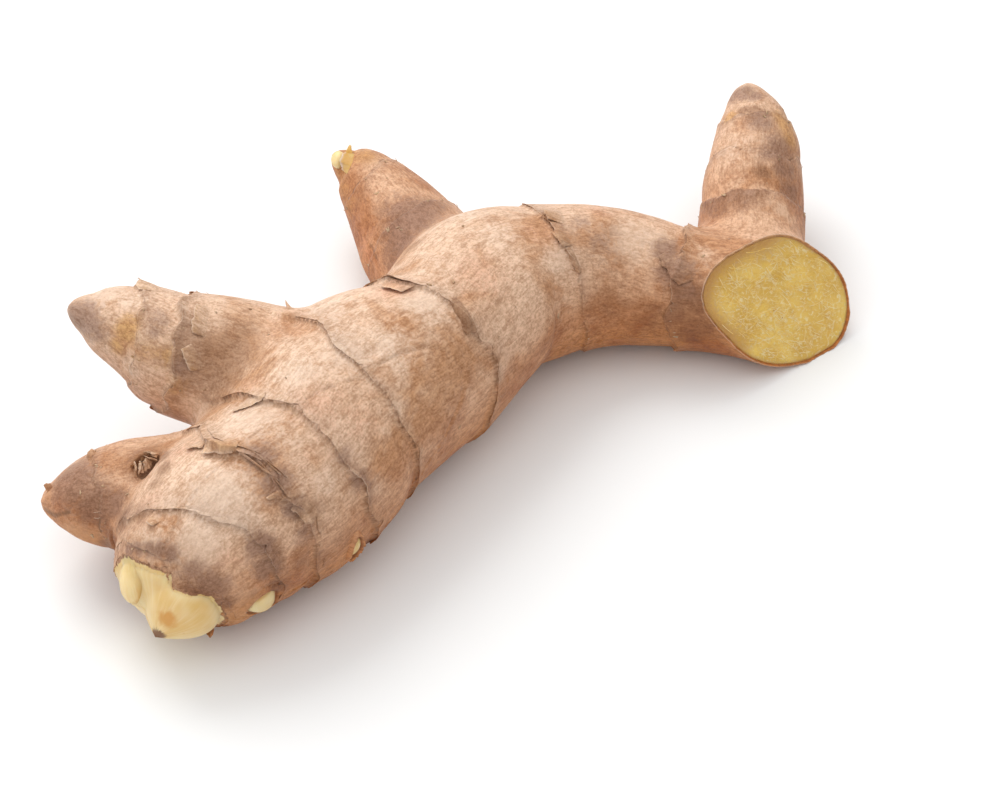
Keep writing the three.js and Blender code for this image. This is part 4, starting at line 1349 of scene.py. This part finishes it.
# Each flake: the middle of its root and where its free edge would lie flat, its width, its slope in
# degrees at the root and at the free edge, its width at the free edge as a share, how brown it is,
# and how deep its root is sunk.
FLAKES = {
    "broad": [[-39.4, -39.5, 33.3], [-40.1, -43.1, 32.3], 6.4, [13, 9], 0.95, 0.05, 0.4],
    "broad_side": [[-43.9, -37.2, 31.4], [-44.4, -40.2, 30.4], 4.4, [8, 12], 0.75, 0.3, 0.4],
    "fibre_1": [[-36.4, -43.4, 33.4], [-29.4, -48.6, 31.0], 0.45, [4, 3], 0.5, 0.2, 0.1],
    "fibre_2": [[-35.4, -42.6, 33.6], [-27.6, -48.0, 30.6], 0.35, [5, 2], 0.4, 0.0, 0.1],
    "fibre_3": [[-33.6, -44.6, 32.8], [-28.6, -49.9, 29.6], 0.4, [4, 6], 0.5, 0.4, 0.1],
    "fibre_4": [[-34.4, -43.2, 33.4], [-29.6, -47.2, 31.6], 0.3, [6, 4], 0.5, 0.0, 0.1],
    "point": [[-28.6, -49.0, 30.2], [-32.0, -50.4, 29.5], 1.7, [6, 12], 0.4, 0.2, 0.2],
    "low_flap": [[-24.0, -48.4, 28.0], [-26.6, -51.0, 25.4], 5.8, [6, 10], 0.95, 0.45, 0.4],
    "middle_flap": [[-10.9, -3.4, 35.2], [-12.4, -6.2, 34.4], 6.4, [8, 14], 0.8, 0.15, 0.4],
    "brown_strip": [[-1.7, -7.4, 34.2], [1.8, -13.0, 29.8], 2.0, [7, 3], 0.8, 1.0, 0.05],
    "right_curl": [[19.0, 20.4, 28.4], [14.4, 19.4, 29.0], 5.6, [8, 18], 0.6, 0.35, 0.4],
    "right_low_curl": [[19.6, 15.2, 28.6], [16.8, 13.4, 28.6], 4.4, [7, 16], 0.8, 0.55, 0.4],
    "right_strip": [[18.2, 13.4, 28.2], [21.4, 8.2, 24.4], 1.5, [4, 0], 0.7, 0.7, 0.25],
    "dry_patch": [[41.6, 14.4, 23.0], [37.0, 12.2, 21.6], 8.0, [3, 6], 0.9, 0.6, 0.3],
    "tip_tongue": [[-50.6, -3.4, 35.4], [-56.0, -4.6, 34.4], 5.6, [5, 8], 0.85, 0.1, 0.4],
    "curled_flap": [[-42.9, -13.6, 34.8], [-46.7, -13.4, 35.2], 6.8, [7, 20], 0.9, 0.2, 0.4],
    "curled_flap_low": [[-44.6, -19.0, 31.8], [-47.6, -19.8, 31.0], 5.4, [4, 8], 0.85, 0.1, 0.35],
    "little_curl": [[-49.6, -51.8, 28.2], [-51.4, -53.4, 26.8], 2.5, [9, 26], 0.7, 0.05, 0.3],
    "spike": [[-29.6, -8.4, 32.6], [-31.4, -5.6, 31.4], 1.6, [14, 30], 0.15, 0.4, 0.25],
    "junction_lip": [[-36.4, -29.4, 34.2], [-35.6, -32.4, 33.6], 7.0, [3, 7], 0.85, 0.15, 0.35],
    "bark_tag": [[-62.9, -33.8, 21.9], [-63.9, -32.8, 22.3], 2.0, [40, 60], 0.9, 0.4, 0.3],
    "end_tag": [[-70.3, -37.4, 17.2], [-71.2, -36.6, 17.7], 1.2, [35, 60], 0.75, 0.7, 0.3],
    "front_tag": [[-40.6, -59.8, 7.8], [-39.9, -61.7, 5.4], 2.7, [30, 15], 1.0, 0.45, 0.3],
    "grey_cap": [[55.6, 57.0, 25.4], [53.4, 61.4, 24.4], 5.0, [2, 4], 0.7, 0.3, 0.25],
}
SHREDS = 30  # crumpled scraps in the pit of a fallen side shoot
SHRED_CRUMPLE = 0.3  # height of their creases
# Young scales curled round a finger's tip: root, free edge, width, slopes and taper.
TIP_SCALES = {
    "cup": [[-21.4, 44.9, 19.9], [-23.9, 46.4, 19.0], 5.6, [14, 24], 0.85],
    "point": [[-22.6, 47.2, 19.6], [-22.0, 49.2, 19.6], 1.8, [34, 42], 0.4],
}


def thin_shell(top, under):
    """A closed shell from two grids of points (rows, columns, 3): points and faces."""
    rows, columns = top.shape[:2]
    size = rows * columns
    upper = grid_faces(rows, columns, closed=False)
    edge = list(range(columns))
    edge += [r * columns + columns - 1 for r in range(1, rows)]
    edge += [(rows - 1) * columns + c for c in range(columns - 2, -1, -1)]
    edge += [r * columns for r in range(rows - 2, 0, -1)]
    walls = [[a, b, b + size, a + size] for a, b in zip(edge, edge[1:] + edge[:1])]
    points = np.concatenate([top.reshape(-1, 3), under.reshape(-1, 3)])
    return points, [*upper.tolist(), *(upper[:, ::-1] + size).tolist(), *walls]


def smooth_row(side, row):
    """A row of points, replaced by the nearest simple curve."""
    curve = np.polynomial.polynomial.polyfit(side, row, 2)
    return np.polynomial.polynomial.polyval(side, curve).T


def flake_marks(marks, way, side, tone, crumple):
    """The skin's marks under a flake, changed to the flake's own: frayed, thin and paler at its free edge,
    partly a painted highlight.
    """
    for key in ("margin", "past", "flesh"):
        marks[key] = np.zeros(len(way) * len(side))
    free = np.maximum(way[:, None] ** 5, np.abs(side[None, :]) ** 12 * way[:, None]).ravel()
    thin = np.repeat(way * (1 - tone), len(side))
    own = 3 * crumple  # share of the flake's own colour, against that of the skin
    marks["brown"] = np.maximum((1 - own) * marks["brown"], 0.8 * tone)
    marks["grey"] = (1 - own) * marks["grey"]
    marks["cream"] = np.maximum(marks["cream"], own * thin.clip(0, 1))
    marks["yellow"] = np.maximum(marks["yellow"], 0.4 * thin)
    marks["fray_and_highlight"] = free * (1 - 0.85 * tone)
    return marks


def torn_flake(start, end, width, slopes, taper, tone, sunk, seed, crumple=CRUMPLE):
    """A thin flake rooted on the root, its free edge lifted or curled: points, faces, marks."""
    start, end = np.array(start, float), np.array(end, float)
    out = unit(root_field(start[None])[0][1])[0]
    heading = end - start
    length = np.linalg.norm(heading)
    heading = unit(heading - (heading @ out) * out)
    across = np.cross(out, heading)
    way = np.linspace(0, 1, FLAKE_ROWS)
    side = np.linspace(-1, 1, FLAKE_COLUMNS)
    slope = np.radians(slopes[0] + (slopes[1] - slopes[0]) * way**1.6)
    step = length / (FLAKE_ROWS - 1)
    ahead = np.concatenate([[0], np.cumsum(np.cos(slope[1:]) * step)])
    rise = np.concatenate([[0], np.cumsum(np.sin(slope[1:]) * step)])
    along_edge = side * width / 2
    places = np.stack([along_edge, side * 0 + seed, side * 0], 1)
    coarse, fine = fractal(places, 2.2, 2, seed), fractal(places, 0.5, 2, seed + 4)
    ragged = 1 + 0.11 * coarse + 0.05 * fine - 0.1 * side**4
    sides = fractal(np.stack([way * 2.6, way * 0, way * 0 + seed], 1), 1.0, 2, 3.0 + seed)
    half = width / 2 * (1 - (1 - taper) * way**2) * (1 + 0.14 * sides)
    x = np.broadcast_to(ahead[:, None], (FLAKE_ROWS, FLAKE_COLUMNS))
    y = half[:, None] * side[None, :]
    flat = start + x[..., None] * heading + y[..., None] * across
    ends = on_the_skin(np.concatenate([flat[0], flat[-1]])).reshape(2, FLAKE_COLUMNS, 3)
    root, tip = (smooth_row(side, row) for row in ends)
    base = (root + way[:, None, None] * (tip - root)).reshape(-1, 3)
    (outside, normal), best = root_field(base)
    normal = unit(normal)
    base += np.maximum(-outside, 0)[:, None] * normal
    normal = normal.reshape(*x.shape, 3)
    crinkle = crumple * fractal(base + seed, 1.6, 2, 1.0).reshape(x.shape) * way[:, None]
    hug = 1 - 0.35 * side[None, :] ** 4
    lift = rise[:, None] * ragged[None, :] * hug - sunk * (1 - way[:, None]) ** 2 + FLAKE_OFF + crinkle
    lift = lift - FLAKE_SAG * side[None, :] ** 2
    frayed = length * way[:, None] * (ragged[None, :] - 1)
    top = base.reshape(*x.shape, 3) + frayed[..., None] * heading + lift[..., None] * normal
    tilt = slope[:, None, None]
    thickness = PAPER * (0.5 + 0.9 * (1 - way))[:, None, None]
    under = top - thickness * (normal * np.cos(tilt) - heading * np.sin(tilt))
    points, faces = thin_shell(top, under)
    above_floor(points)
    marks = flake_marks(skin_marks(base, best), way, side, tone, crumple)
    return points, faces, {key: np.concatenate([values, values]) for key, values in marks.items()}


def shreds():
    """The crumpled scraps that stand round inside the fallen shoot's pit."""
    facing = unit(np.array(SCAR["facing"]))
    across = unit(np.cross(facing, [0.0, 0.0, 1.0]))
    up = np.cross(across, facing)
    random = np.random.default_rng(5)
    for seed in range(SHREDS):
        turn, aim = 2 * math.pi * seed / SHREDS + random.normal(0, 0.2), random.normal(0, 0.5)
        start = SCAR["at"] + random.uniform(0.9, 3.9) * (math.cos(turn) * across + math.sin(turn) * up)
        way = -(math.cos(turn + aim) * across + math.sin(turn + aim) * up)
        length, width, tone = random.uniform((0.8, 0.6, -0.4), (1.7, 1.2, 1.2))
        slopes = random.uniform((5, 40), (30, 130))
        end = start + length * way
        yield torn_flake(start, end, width, slopes, 0.8, tone, 0.35, 40 + seed, SHRED_CRUMPLE)


class GINGER_OT_flakes(bpy.types.Operator):
    """Lift the torn flakes and tags, and crumple the shreds in the old shoot's pit"""

    bl_idname = "ginger.flakes"
    bl_label = "Flakes"

    def execute(self, context):
        flakes = Bundle()
        for seed, flake in enumerate(FLAKES.values()):
            flakes.add(*torn_flake(*flake, seed * 1.7))
        for shred in shreds():
            flakes.add(*shred)
        flakes.piece("torn_flakes", material_of(context, "ginger_skin"), "dry_scale")
        scales = Bundle()
        for seed, (start, end, width, slopes, taper) in enumerate(TIP_SCALES.values()):
            scales.add(*torn_flake(start, end, width, slopes, taper, 0.0, 0.3, 60 + seed))
        scales.piece("tip_scales", material_of(context, "amber_scale"), "bud")
        return {"FINISHED"}


# ---------------------------------------------------------------- scattered scraps, fibres and hairs
SCATTER_INPUTS = {
    "Points": "NodeSocketGeometry",
    "Length": "NodeSocketFloat",
    "Width": "NodeSocketFloat",
    "Bend": "NodeSocketFloat",
    "Smallest": "NodeSocketFloat",
    "Seed": "NodeSocketInt",
    "Material": "NodeSocketMaterial",
}
SCRAP_THICKNESS = 0.07
SCRAP_NARROWING = 0.75  # share of its width that a scrap loses towards its far end
THREAD_SUNK = 0.1  # how deep a thread's root is under the skin


def scatter_tree(name, build_shape):
    """Places one shape on every point, out along "normal", turned to "heading" and sized at random."""
    tree = bpy.data.node_groups.new(name, "GeometryNodeTree")
    for socket, kind in SCATTER_INPUTS.items():
        tree.interface.new_socket(socket, in_out="INPUT", socket_type=kind)
    tree.interface.new_socket("Geometry", in_out="OUTPUT", socket_type="NodeSocketGeometry")
    given = tree.nodes.new("NodeGroupInput").outputs
    shape = build_shape(tree, given)
    normal = node(tree, "GeometryNodeInputNamedAttribute", {"Name": "normal"}, data_type="FLOAT_VECTOR")
    heading = node(tree, "GeometryNodeInputNamedAttribute", {"Name": "heading"}, data_type="FLOAT_VECTOR")
    standing_up = node(tree, "FunctionNodeAlignRotationToVector", {"Vector": normal.outputs[0]}, axis="Z")
    turned = node(
        tree, "FunctionNodeAlignRotationToVector",
        {"Rotation": standing_up.outputs[0], "Vector": heading.outputs[0]}, axis="X", pivot_axis="Z",
    )
    range_and_seed = {2: given["Smallest"], 3: 1.0, "Seed": given["Seed"]}
    size = node(tree, "FunctionNodeRandomValue", range_and_seed, data_type="FLOAT")
    places = {
        "Points": given["Points"], "Instance": shape,
        "Rotation": turned.outputs[0], "Scale": size.outputs[1],
    }
    placed = node(tree, "GeometryNodeInstanceOnPoints", places)
    real = node(tree, "GeometryNodeRealizeInstances", {"Geometry": placed.outputs[0]})
    looks = {"Geometry": real.outputs[0], "Material": given["Material"]}
    painted = node(tree, "GeometryNodeSetMaterial", looks)
    tree.links.new(painted.outputs[0], tree.nodes.new("NodeGroupOutput").inputs[0])
    return tree


def joined_place(tree, x, y, z):
    return node(tree, "ShaderNodeCombineXYZ", {0: x, 1: y, 2: z}).outputs[0]


def scrap_shape(tree, given):
    """A thin bent scrap, rooted at its near end."""
    size = joined_place(tree, given["Length"], given["Width"], SCRAP_THICKNESS * MM)
    cells = {"Size": size, "Vertices X": 5, "Vertices Y": 3, "Vertices Z": 2}
    sheet = node(tree, "GeometryNodeMeshCube", cells).outputs[0]
    place = node(tree, "GeometryNodeInputPosition").outputs[0]
    x, y, _ = node(tree, "ShaderNodeSeparateXYZ", {0: place}).outputs[:3]
    way = maths(tree, "ADD", maths(tree, "DIVIDE", x, given["Length"]), 0.5)
    squared = maths(tree, "POWER", way, 2.0)
    lift = maths(tree, "MULTIPLY", squared, given["Bend"])
    narrow = maths(tree, "MULTIPLY", maths(tree, "MULTIPLY", y, -SCRAP_NARROWING), squared)
    offset = joined_place(tree, 0.0, narrow, lift)
    return node(tree, "GeometryNodeSetPosition", {"Geometry": sheet, "Offset": offset}).outputs[0]


def thread_shape(tree, given):
    """A thin bent thread, rooted at its near end."""
    halfway = maths(tree, "MULTIPLY", given["Length"], 0.5)
    middle = joined_place(tree, halfway, given["Bend"], given["Bend"])
    end = joined_place(tree, given["Length"], 0.0, given["Width"])
    route = {"Resolution": 6, "Start": (0, 0, -THREAD_SUNK * MM), "Middle": middle, "End": end}
    line = node(tree, "GeometryNodeCurveQuadraticBezier", route).outputs[0]
    radius = maths(tree, "MULTIPLY", given["Width"], 0.5)
    ring = node(tree, "GeometryNodeCurvePrimitiveCircle", {"Resolution": 5, "Radius": radius}, mode="RADIUS")
    tube = {"Curve": line, "Profile Curve": ring.outputs[0], "Fill Caps": True}
    return node(tree, "GeometryNodeCurveToMesh", tube).outputs[0]


# Kinds of small repeats: shape, length, width, bend (mm), smallest as a share, material and slot.
SCATTERED = {
    "loose_scraps": [scrap_shape, 1.0, 0.55, 0.25, 0.3, "papery_scale", "dry_scale"],
    "root_hairs": [thread_shape, 3.4, 0.07, 0.7, 0.35, "root_hair", "dry_scale"],
    "cut_fibres": [thread_shape, 3.6, 0.11, 0.3, 0.2, "flesh_fibre", "flesh"],
}
SCRAPS_ON_AN_EDGE = 8
STRAY_SCRAPS = 70
HAIRS = 60
FIBRES = 520
# Angles round a limb between which they lie, in radians, from its right side over its top.
EDGE_SCRAP_SIDES, STRAY_SCRAP_SIDES, HAIR_SIDES = (-0.6, 3.7), (-0.3, 3.4), (-0.5, 3.6)
SCRAP_BEHIND = (0.1, 1.4)  # how far behind a scale's edge its scraps lie
HAIR_BAND = 3.0  # how widely hairs are spread about a limb's first edge
HEADING_SPREAD = 0.7  # how much headings vary, in radians
HAIR_LEAN = 0.8  # how far a hair leans along its heading, as a share of the way out
KNIFE_CLEAR = 1.5  # scraps and hairs stay this far behind the knife's plane
SCRAP_LOW, HAIR_LOW = 1.5, 2.5  # and this high above the floor
FIBRE_LEAN = math.radians(35)  # the way the flesh's fibres run across the cut
FIBRE_LEAN_SPREAD = 0.5
FIBRE_ROOT = 0.2  # how far past the knife's plane they start
FIBRE_MARGIN = 0.6  # how far inside the skin they end


def scattered(context, name, points, normals, headings):
    """The piece that one kind of scattered shape makes on the given points."""
    build_shape, length, width, bend, smallest, material, slot = SCATTERED[name]
    mesh = bpy.data.meshes.new(name)
    mesh.from_pydata((np.asarray(points) * MM).tolist(), [], [])
    for key, values in (("normal", normals), ("heading", headings)):
        attribute = mesh.attributes.new(key, "FLOAT_VECTOR", "POINT")
        attribute.data.foreach_set("vector", np.asarray(values, np.float32).ravel())
    obj = bpy.data.objects.new(name, mesh)
    bpy.context.scene.collection.objects.link(obj)
    tree = scatter_tree(name, build_shape)
    spread_out = obj.modifiers.new("spread", "NODES")
    spread_out.node_group = tree
    values = {
        "Length": length * MM, "Width": width * MM, "Bend": bend * MM, "Smallest": smallest,
        "Seed": len(points), "Material": material_of(context, material),
    }
    for socket in tree.interface.items_tree:
        if socket.in_out == "INPUT" and socket.name in values:
            spread_out[socket.identifier] = values[socket.name]
    return finished(name, baked_mesh(obj), material_of(context, material), slot)


def lying_on(limb, along, angle, turn, random):
    """Places on a limb's skin, the way out there, and headings turned from the limb's own way."""
    places = on_the_skin(limb.surface(along, angle))
    out = unit(root_field(places)[0][1])
    tangent = limb.frame_at(along)[1]
    tangent = unit(tangent - (tangent * out).sum(1, keepdims=True) * out)
    side = np.cross(out, tangent)
    turn = turn + random.normal(0, HEADING_SPREAD, len(along))
    return places, out, around(turn, tangent, side)


class GINGER_OT_scraps(bpy.types.Operator):
    """Scatter small dry scraps along the scales' edges, and a few hairs"""

    bl_idname = "ginger.scraps"
    bl_label = "Scraps and hairs"

    def execute(self, context):
        random = np.random.default_rng(7)
        groups = []
        for limb in GINGER.values():
            for ring in limb.rings:
                angle = random.uniform(*EDGE_SCRAP_SIDES, SCRAPS_ON_AN_EDGE)
                along = limb.edge(ring, angle) - random.uniform(*SCRAP_BEHIND, len(angle))
                groups.append(lying_on(limb, along, angle, 0.0, random))
        for limb in GINGER.values():
            share = limb.length / sum(other.length for other in GINGER.values())
            angle = random.uniform(*STRAY_SCRAP_SIDES, int(STRAY_SCRAPS * share))
            along = random.uniform(4, limb.length - 3, len(angle))
            groups.append(lying_on(limb, along, angle, math.pi / 3, random))
        places, normals, headings = (np.concatenate(parts) for parts in zip(*groups))
        _, best = root_field(places)
        bare = skin_marks(places, best)["flesh"] > 0
        kept = ~bare & (past_knife(places) <= -KNIFE_CLEAR) & (places[:, 2] > SCRAP_LOW)
        scattered(context, "loose_scraps", places[kept], normals[kept], headings[kept])

        groups = []
        for limb in GINGER.values():
            count = HAIRS // len(GINGER)
            angle = random.uniform(*HAIR_SIDES, count)
            along = limb.edge(limb.rings[0], angle) + random.normal(0, HAIR_BAND, count)
            groups.append(lying_on(limb, along, angle, 0.0, random))
        places, normals, headings = (np.concatenate(parts) for parts in zip(*groups))
        kept = (places[:, 2] > HAIR_LOW) & (past_knife(places) < -KNIFE_CLEAR)
        normals = unit(normals + HAIR_LEAN * headings)
        scattered(context, "root_hairs", places[kept], normals[kept], headings[kept])
        return {"FINISHED"}


class GINGER_OT_fibres(bpy.types.Operator):
    """Pull pale fibres out of the sliced end"""

    bl_idname = "ginger.fibres"
    bl_label = "Cut fibres"

    def execute(self, context):
        random = np.random.default_rng(11)
        _, spoke, reach = cut_outline()
        which = random.integers(0, len(spoke), FIBRES)
        share = np.sqrt(random.uniform(0.0, 0.8, FIBRES))
        places = KNIFE_POINT + (share * reach[which])[:, None] * spoke[which] + FIBRE_ROOT * KNIFE_NORMAL
        lean = FIBRE_LEAN + random.normal(0, FIBRE_LEAN_SPREAD, FIBRES)
        lean = lean + math.pi * random.integers(0, 2, FIBRES)
        headings = around(lean, CUT_ACROSS, CUT_UP)
        ends = places + SCATTERED["cut_fibres"][1] * headings
        inside = depth_of(ends - 0.8 * KNIFE_NORMAL) < -FIBRE_MARGIN
        normals = unit(KNIFE_NORMAL + random.normal(0, 0.05, (FIBRES, 3)))
        scattered(context, "cut_fibres", places[inside], normals[inside], headings[inside])
        return {"FINISHED"}


# ---------------------------------------------------------------- the stage
def area_light(name, energy, size, place, target, tint):
    """A square lamp at a place, facing a target."""
    light = bpy.data.lights.new(name, "AREA")
    light.energy, light.size, light.color = energy, size, tint
    obj = bpy.data.objects.new(name, light)
    obj.location = place
    obj.rotation_euler = (Vector(target) - Vector(place)).to_track_quat("-Z", "Y").to_euler()
    bpy.context.scene.collection.objects.link(obj)


SKY_BRIGHTEST = (-0.4, 0.18, 0.9)  # the way to the brightest part of the sky
SKY_SPREAD = (-0.3, 0.6)  # from its dim to its bright part, as the cosine of the angle from there
SKY_BRIGHT = (1.0, 0.985, 0.965, 1.0)
SKY_DIM = (0.17, 0.105, 0.065, 1.0)
FLOOR_REACH = 4.0
FLOOR_COLOUR = (0.85, 0.875, 0.9, 1)
MIDDLE = (0.0, 0.0, 0.015)  # the place that the lamps face
KEY_PLACE, KEY_SIZE, KEY_TINT = (-0.28, 0.42, 0.62), 0.5, (1.0, 0.97, 0.93)
FILL_PLACE, FILL_SIZE, FILL_TINT = (0.25, -0.3, 0.75), 0.9, (1.0, 0.94, 0.87)


def lay_floor(scene):
    """A plain pale floor that reaches far past the root."""
    reach = FLOOR_REACH
    corners = [(-reach, -reach, 0), (reach, -reach, 0), (reach, reach, 0), (-reach, reach, 0)]
    mesh = bpy.data.meshes.new("floor")
    mesh.from_pydata(corners, [], [(0, 1, 2, 3)])
    material, _, shader = new_material("pale_floor")
    shader.inputs["Base Color"].default_value = FLOOR_COLOUR
    shader.inputs["Roughness"].default_value = 0.9
    shader.inputs["Specular IOR Level"].default_value = 0.1
    mesh.materials.append(material)
    floor = bpy.data.objects.new("floor", mesh)
    scene.collection.objects.link(floor)
    floor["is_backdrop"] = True


def light_sky(scene, strength):
    """A sky that is bright on one side and dim and warm on the other."""
    world = bpy.data.worlds.new("studio")
    world.use_nodes = True
    tree = world.node_tree
    sky = tree.nodes["Background"]
    way = node(tree, "ShaderNodeTexCoord").outputs["Generated"]
    facing = node(tree, "ShaderNodeVectorMath", {0: way, 1: SKY_BRIGHTEST}, operation="DOT_PRODUCT")
    share = spread(tree, facing.outputs["Value"], *SKY_SPREAD)
    tree.links.new(blend_colours(tree, share, SKY_DIM, SKY_BRIGHT), sky.inputs["Color"])
    sky.inputs["Strength"].default_value = strength
    scene.world = world


class GINGER_OT_stage(bpy.types.Operator):
    """Set up the floor, the soft light and the camera"""

    bl_idname = "ginger.stage"
    bl_label = "Stage"

    def execute(self, context):
        scene = context.scene
        view = scene.ginger_view
        lay_floor(scene)
        light_sky(scene, view.sky)
        area_light("key", view.key, KEY_SIZE, KEY_PLACE, MIDDLE, KEY_TINT)
        area_light("fill", view.fill, FILL_SIZE, FILL_PLACE, MIDDLE, FILL_TINT)

        camera = bpy.data.cameras.new("camera")
        camera.lens, camera.sensor_width, camera.clip_start = view.lens, 36.0, 0.01
        eye = bpy.data.objects.new("camera", camera)
        down = view.elevation
        back = Vector((0, -math.cos(down), math.sin(down))) * view.distance
        eye.location = Vector(view.target) + back
        eye.rotation_euler = (math.pi / 2 - down, 0, 0)
        scene.collection.objects.link(eye)
        scene.camera = eye
        scene.view_settings.view_transform = "Standard"
        return {"FINISHED"}


# ---------------------------------------------------------------- settings
def tint(name, description, default):
    return bpy.props.FloatVectorProperty(
        name=name, description=description, default=default, size=3, subtype="COLOR", min=0, soft_max=1
    )


def number(name, description, default, **kind):
    return bpy.props.FloatProperty(name=name, description=description, default=default, **kind)


class GingerShape(bpy.types.PropertyGroup):
    fineness: number(
        "Fineness", "Size of the skin's mesh cells", 0.57 * MM, min=0.3 * MM, precision=5, unit="LENGTH"
    )
    wrinkles: number("Wrinkles", "Height of the skin's wrinkles", 0.13 * MM, precision=5, unit="LENGTH")


class GingerLook(bpy.types.PropertyGroup):
    skin_light: tint("Skin", "Main colour of the skin", (0.62, 0.43, 0.3))
    skin_dark: tint("Skin, darker", "Darker clouds in the skin", (0.45, 0.24, 0.12))
    # Painted shade and warm bounce light on the skin near the floor, as a share of its colour.
    skin_painted_low_shade: tint("Skin, low", "Stain of the skin near the ground, as a share", (0.76, 0.45, 0.19))
    felt_light: tint("Felt, light", "Pale threads, as a share of the skin's colour", (1.31, 1.35, 1.42))
    felt_dark: tint("Felt, dark", "Dark threads, as a share of the skin's colour", (0.66, 0.54, 0.45))
    # Also the colour of the painted light in some cream marks and of the painted highlight on free frayed
    # edges.
    skin_cream_and_highlight: tint("Cream", "Pale worn places and threads", (0.71, 0.55, 0.43))
    skin_pink: tint("Pink", "Pinkish places", (0.6, 0.33, 0.21))
    skin_brown: tint("Brown", "Brown patches and streaks", (0.27, 0.14, 0.07))
    skin_yellow: tint("Yellow", "Thin skin over the flesh", (0.52, 0.3, 0.12))
    skin_grey: tint("Grey", "Dry purple-grey margins", (0.27, 0.16, 0.11))
    # Dirt and painted shade under a scale's edge and along creases.
    crack_dirt_and_shade: tint("Crack", "Dirt under a scale's edge", (0.17, 0.075, 0.03))
    bud_light: tint("Bud", "Pale bud flesh", (0.78, 0.6, 0.31))
    bud_deep: tint("Bud, deeper", "Yellower bud flesh", (0.7, 0.47, 0.17))
    bud_pale: tint("Bud, pale", "Fine pale lines along the bud", (0.84, 0.7, 0.44))
    bud_orange: tint("Bud, orange", "Orange places on the bud", (0.62, 0.3, 0.06))
    bud_brown: tint("Bud, brown", "Dried edges of the bud", (0.18, 0.07, 0.025))
    flesh_light: tint("Flesh", "Cut flesh", (0.86, 0.62, 0.15))
    flesh_deep: tint("Flesh, deeper", "Darker cut flesh", (0.71, 0.45, 0.08))
    flesh_pale: tint("Flesh, pale", "Fibres in the cut flesh", (0.9, 0.8, 0.5))
    flesh_edge: tint("Flesh, edge", "Cut flesh just under the skin", (0.52, 0.27, 0.07))
    paper_light: tint("Scale", "Dry papery scale", (0.52, 0.34, 0.2))
    paper_dark: tint("Scale, darker", "Brown patches of the dry scale", (0.3, 0.17, 0.095))
    paper_amber: tint("Scale, young", "Young scales curled round a finger's tip", (0.68, 0.4, 0.14))
    felt: number("Felt", "Strength of the skin's fine texture", 0.9)
    relief: number("Relief", "Depth of the skin's fine relief", 0.6)


VIEW_TARGET = (TO_FRAME[0] * MM, TO_FRAME[1] * MM, 10 * MM)


class GingerView(bpy.types.PropertyGroup):
    lens: number("Lens", "Focal length in mm", 100.0)
    distance: number("Distance", "From the camera to the target", 0.5, unit="LENGTH")
    elevation: number("Elevation", "How far the camera looks down", math.radians(46), subtype="ANGLE")
    target: bpy.props.FloatVectorProperty(
        name="Target", description="The point that the camera looks at", default=VIEW_TARGET,
        precision=4, subtype="XYZ", unit="LENGTH",
    )
    sky: number("Sky", "Strength of the light from all round", 1.09)
    key: number("Key", "Main light", 3.2, unit="POWER")
    fill: number("Fill", "Light from the front", 0.8, unit="POWER")


class GINGER_PT_panel(bpy.types.Panel):
    """Lists what the root is made of"""

    bl_label = "Ginger root"
    bl_space_type = "VIEW_3D"
    bl_region_type = "UI"
    bl_category = "Ginger"

    def draw(self, context):
        for operator in OPERATORS:
            self.layout.operator(operator.bl_idname)
        for group in (context.scene.ginger_shape, context.scene.ginger_look, context.scene.ginger_view):
            box = self.layout.box()
            for name in group.__annotations__:
                box.prop(group, name)


SETTINGS = {"ginger_shape": GingerShape, "ginger_look": GingerLook, "ginger_view": GingerView}
OPERATORS = (
    GINGER_OT_skin,
    GINGER_OT_edges,
    GINGER_OT_buds,
    GINGER_OT_cut,
    GINGER_OT_flakes,
    GINGER_OT_scraps,
    GINGER_OT_fibres,
    GINGER_OT_stage,
)


def register():
    for kind in (*SETTINGS.values(), *OPERATORS, GINGER_PT_panel):
        bpy.utils.register_class(kind)
    for name, group in SETTINGS.items():
        setattr(bpy.types.Scene, name, bpy.props.PointerProperty(type=group))


def unregister():
    for name in SETTINGS:
        delattr(bpy.types.Scene, name)
    for kind in reversed((*SETTINGS.values(), *OPERATORS, GINGER_PT_panel)):
        bpy.utils.unregister_class(kind)


def main():
    register()
    bpy.ops.ginger.skin()
    bpy.ops.ginger.edges()
    bpy.ops.ginger.buds()
    bpy.ops.ginger.cut()
    bpy.ops.ginger.flakes()
    bpy.ops.ginger.scraps()
    bpy.ops.ginger.fibres()
    bpy.ops.ginger.stage()
    sizes = {"solid": CAD_BOX, "visual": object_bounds()}
    {name: [list(map(float, corner)) for corner in box] for name, box in sizes.items()}


if __name__ == "__main__":
    main()
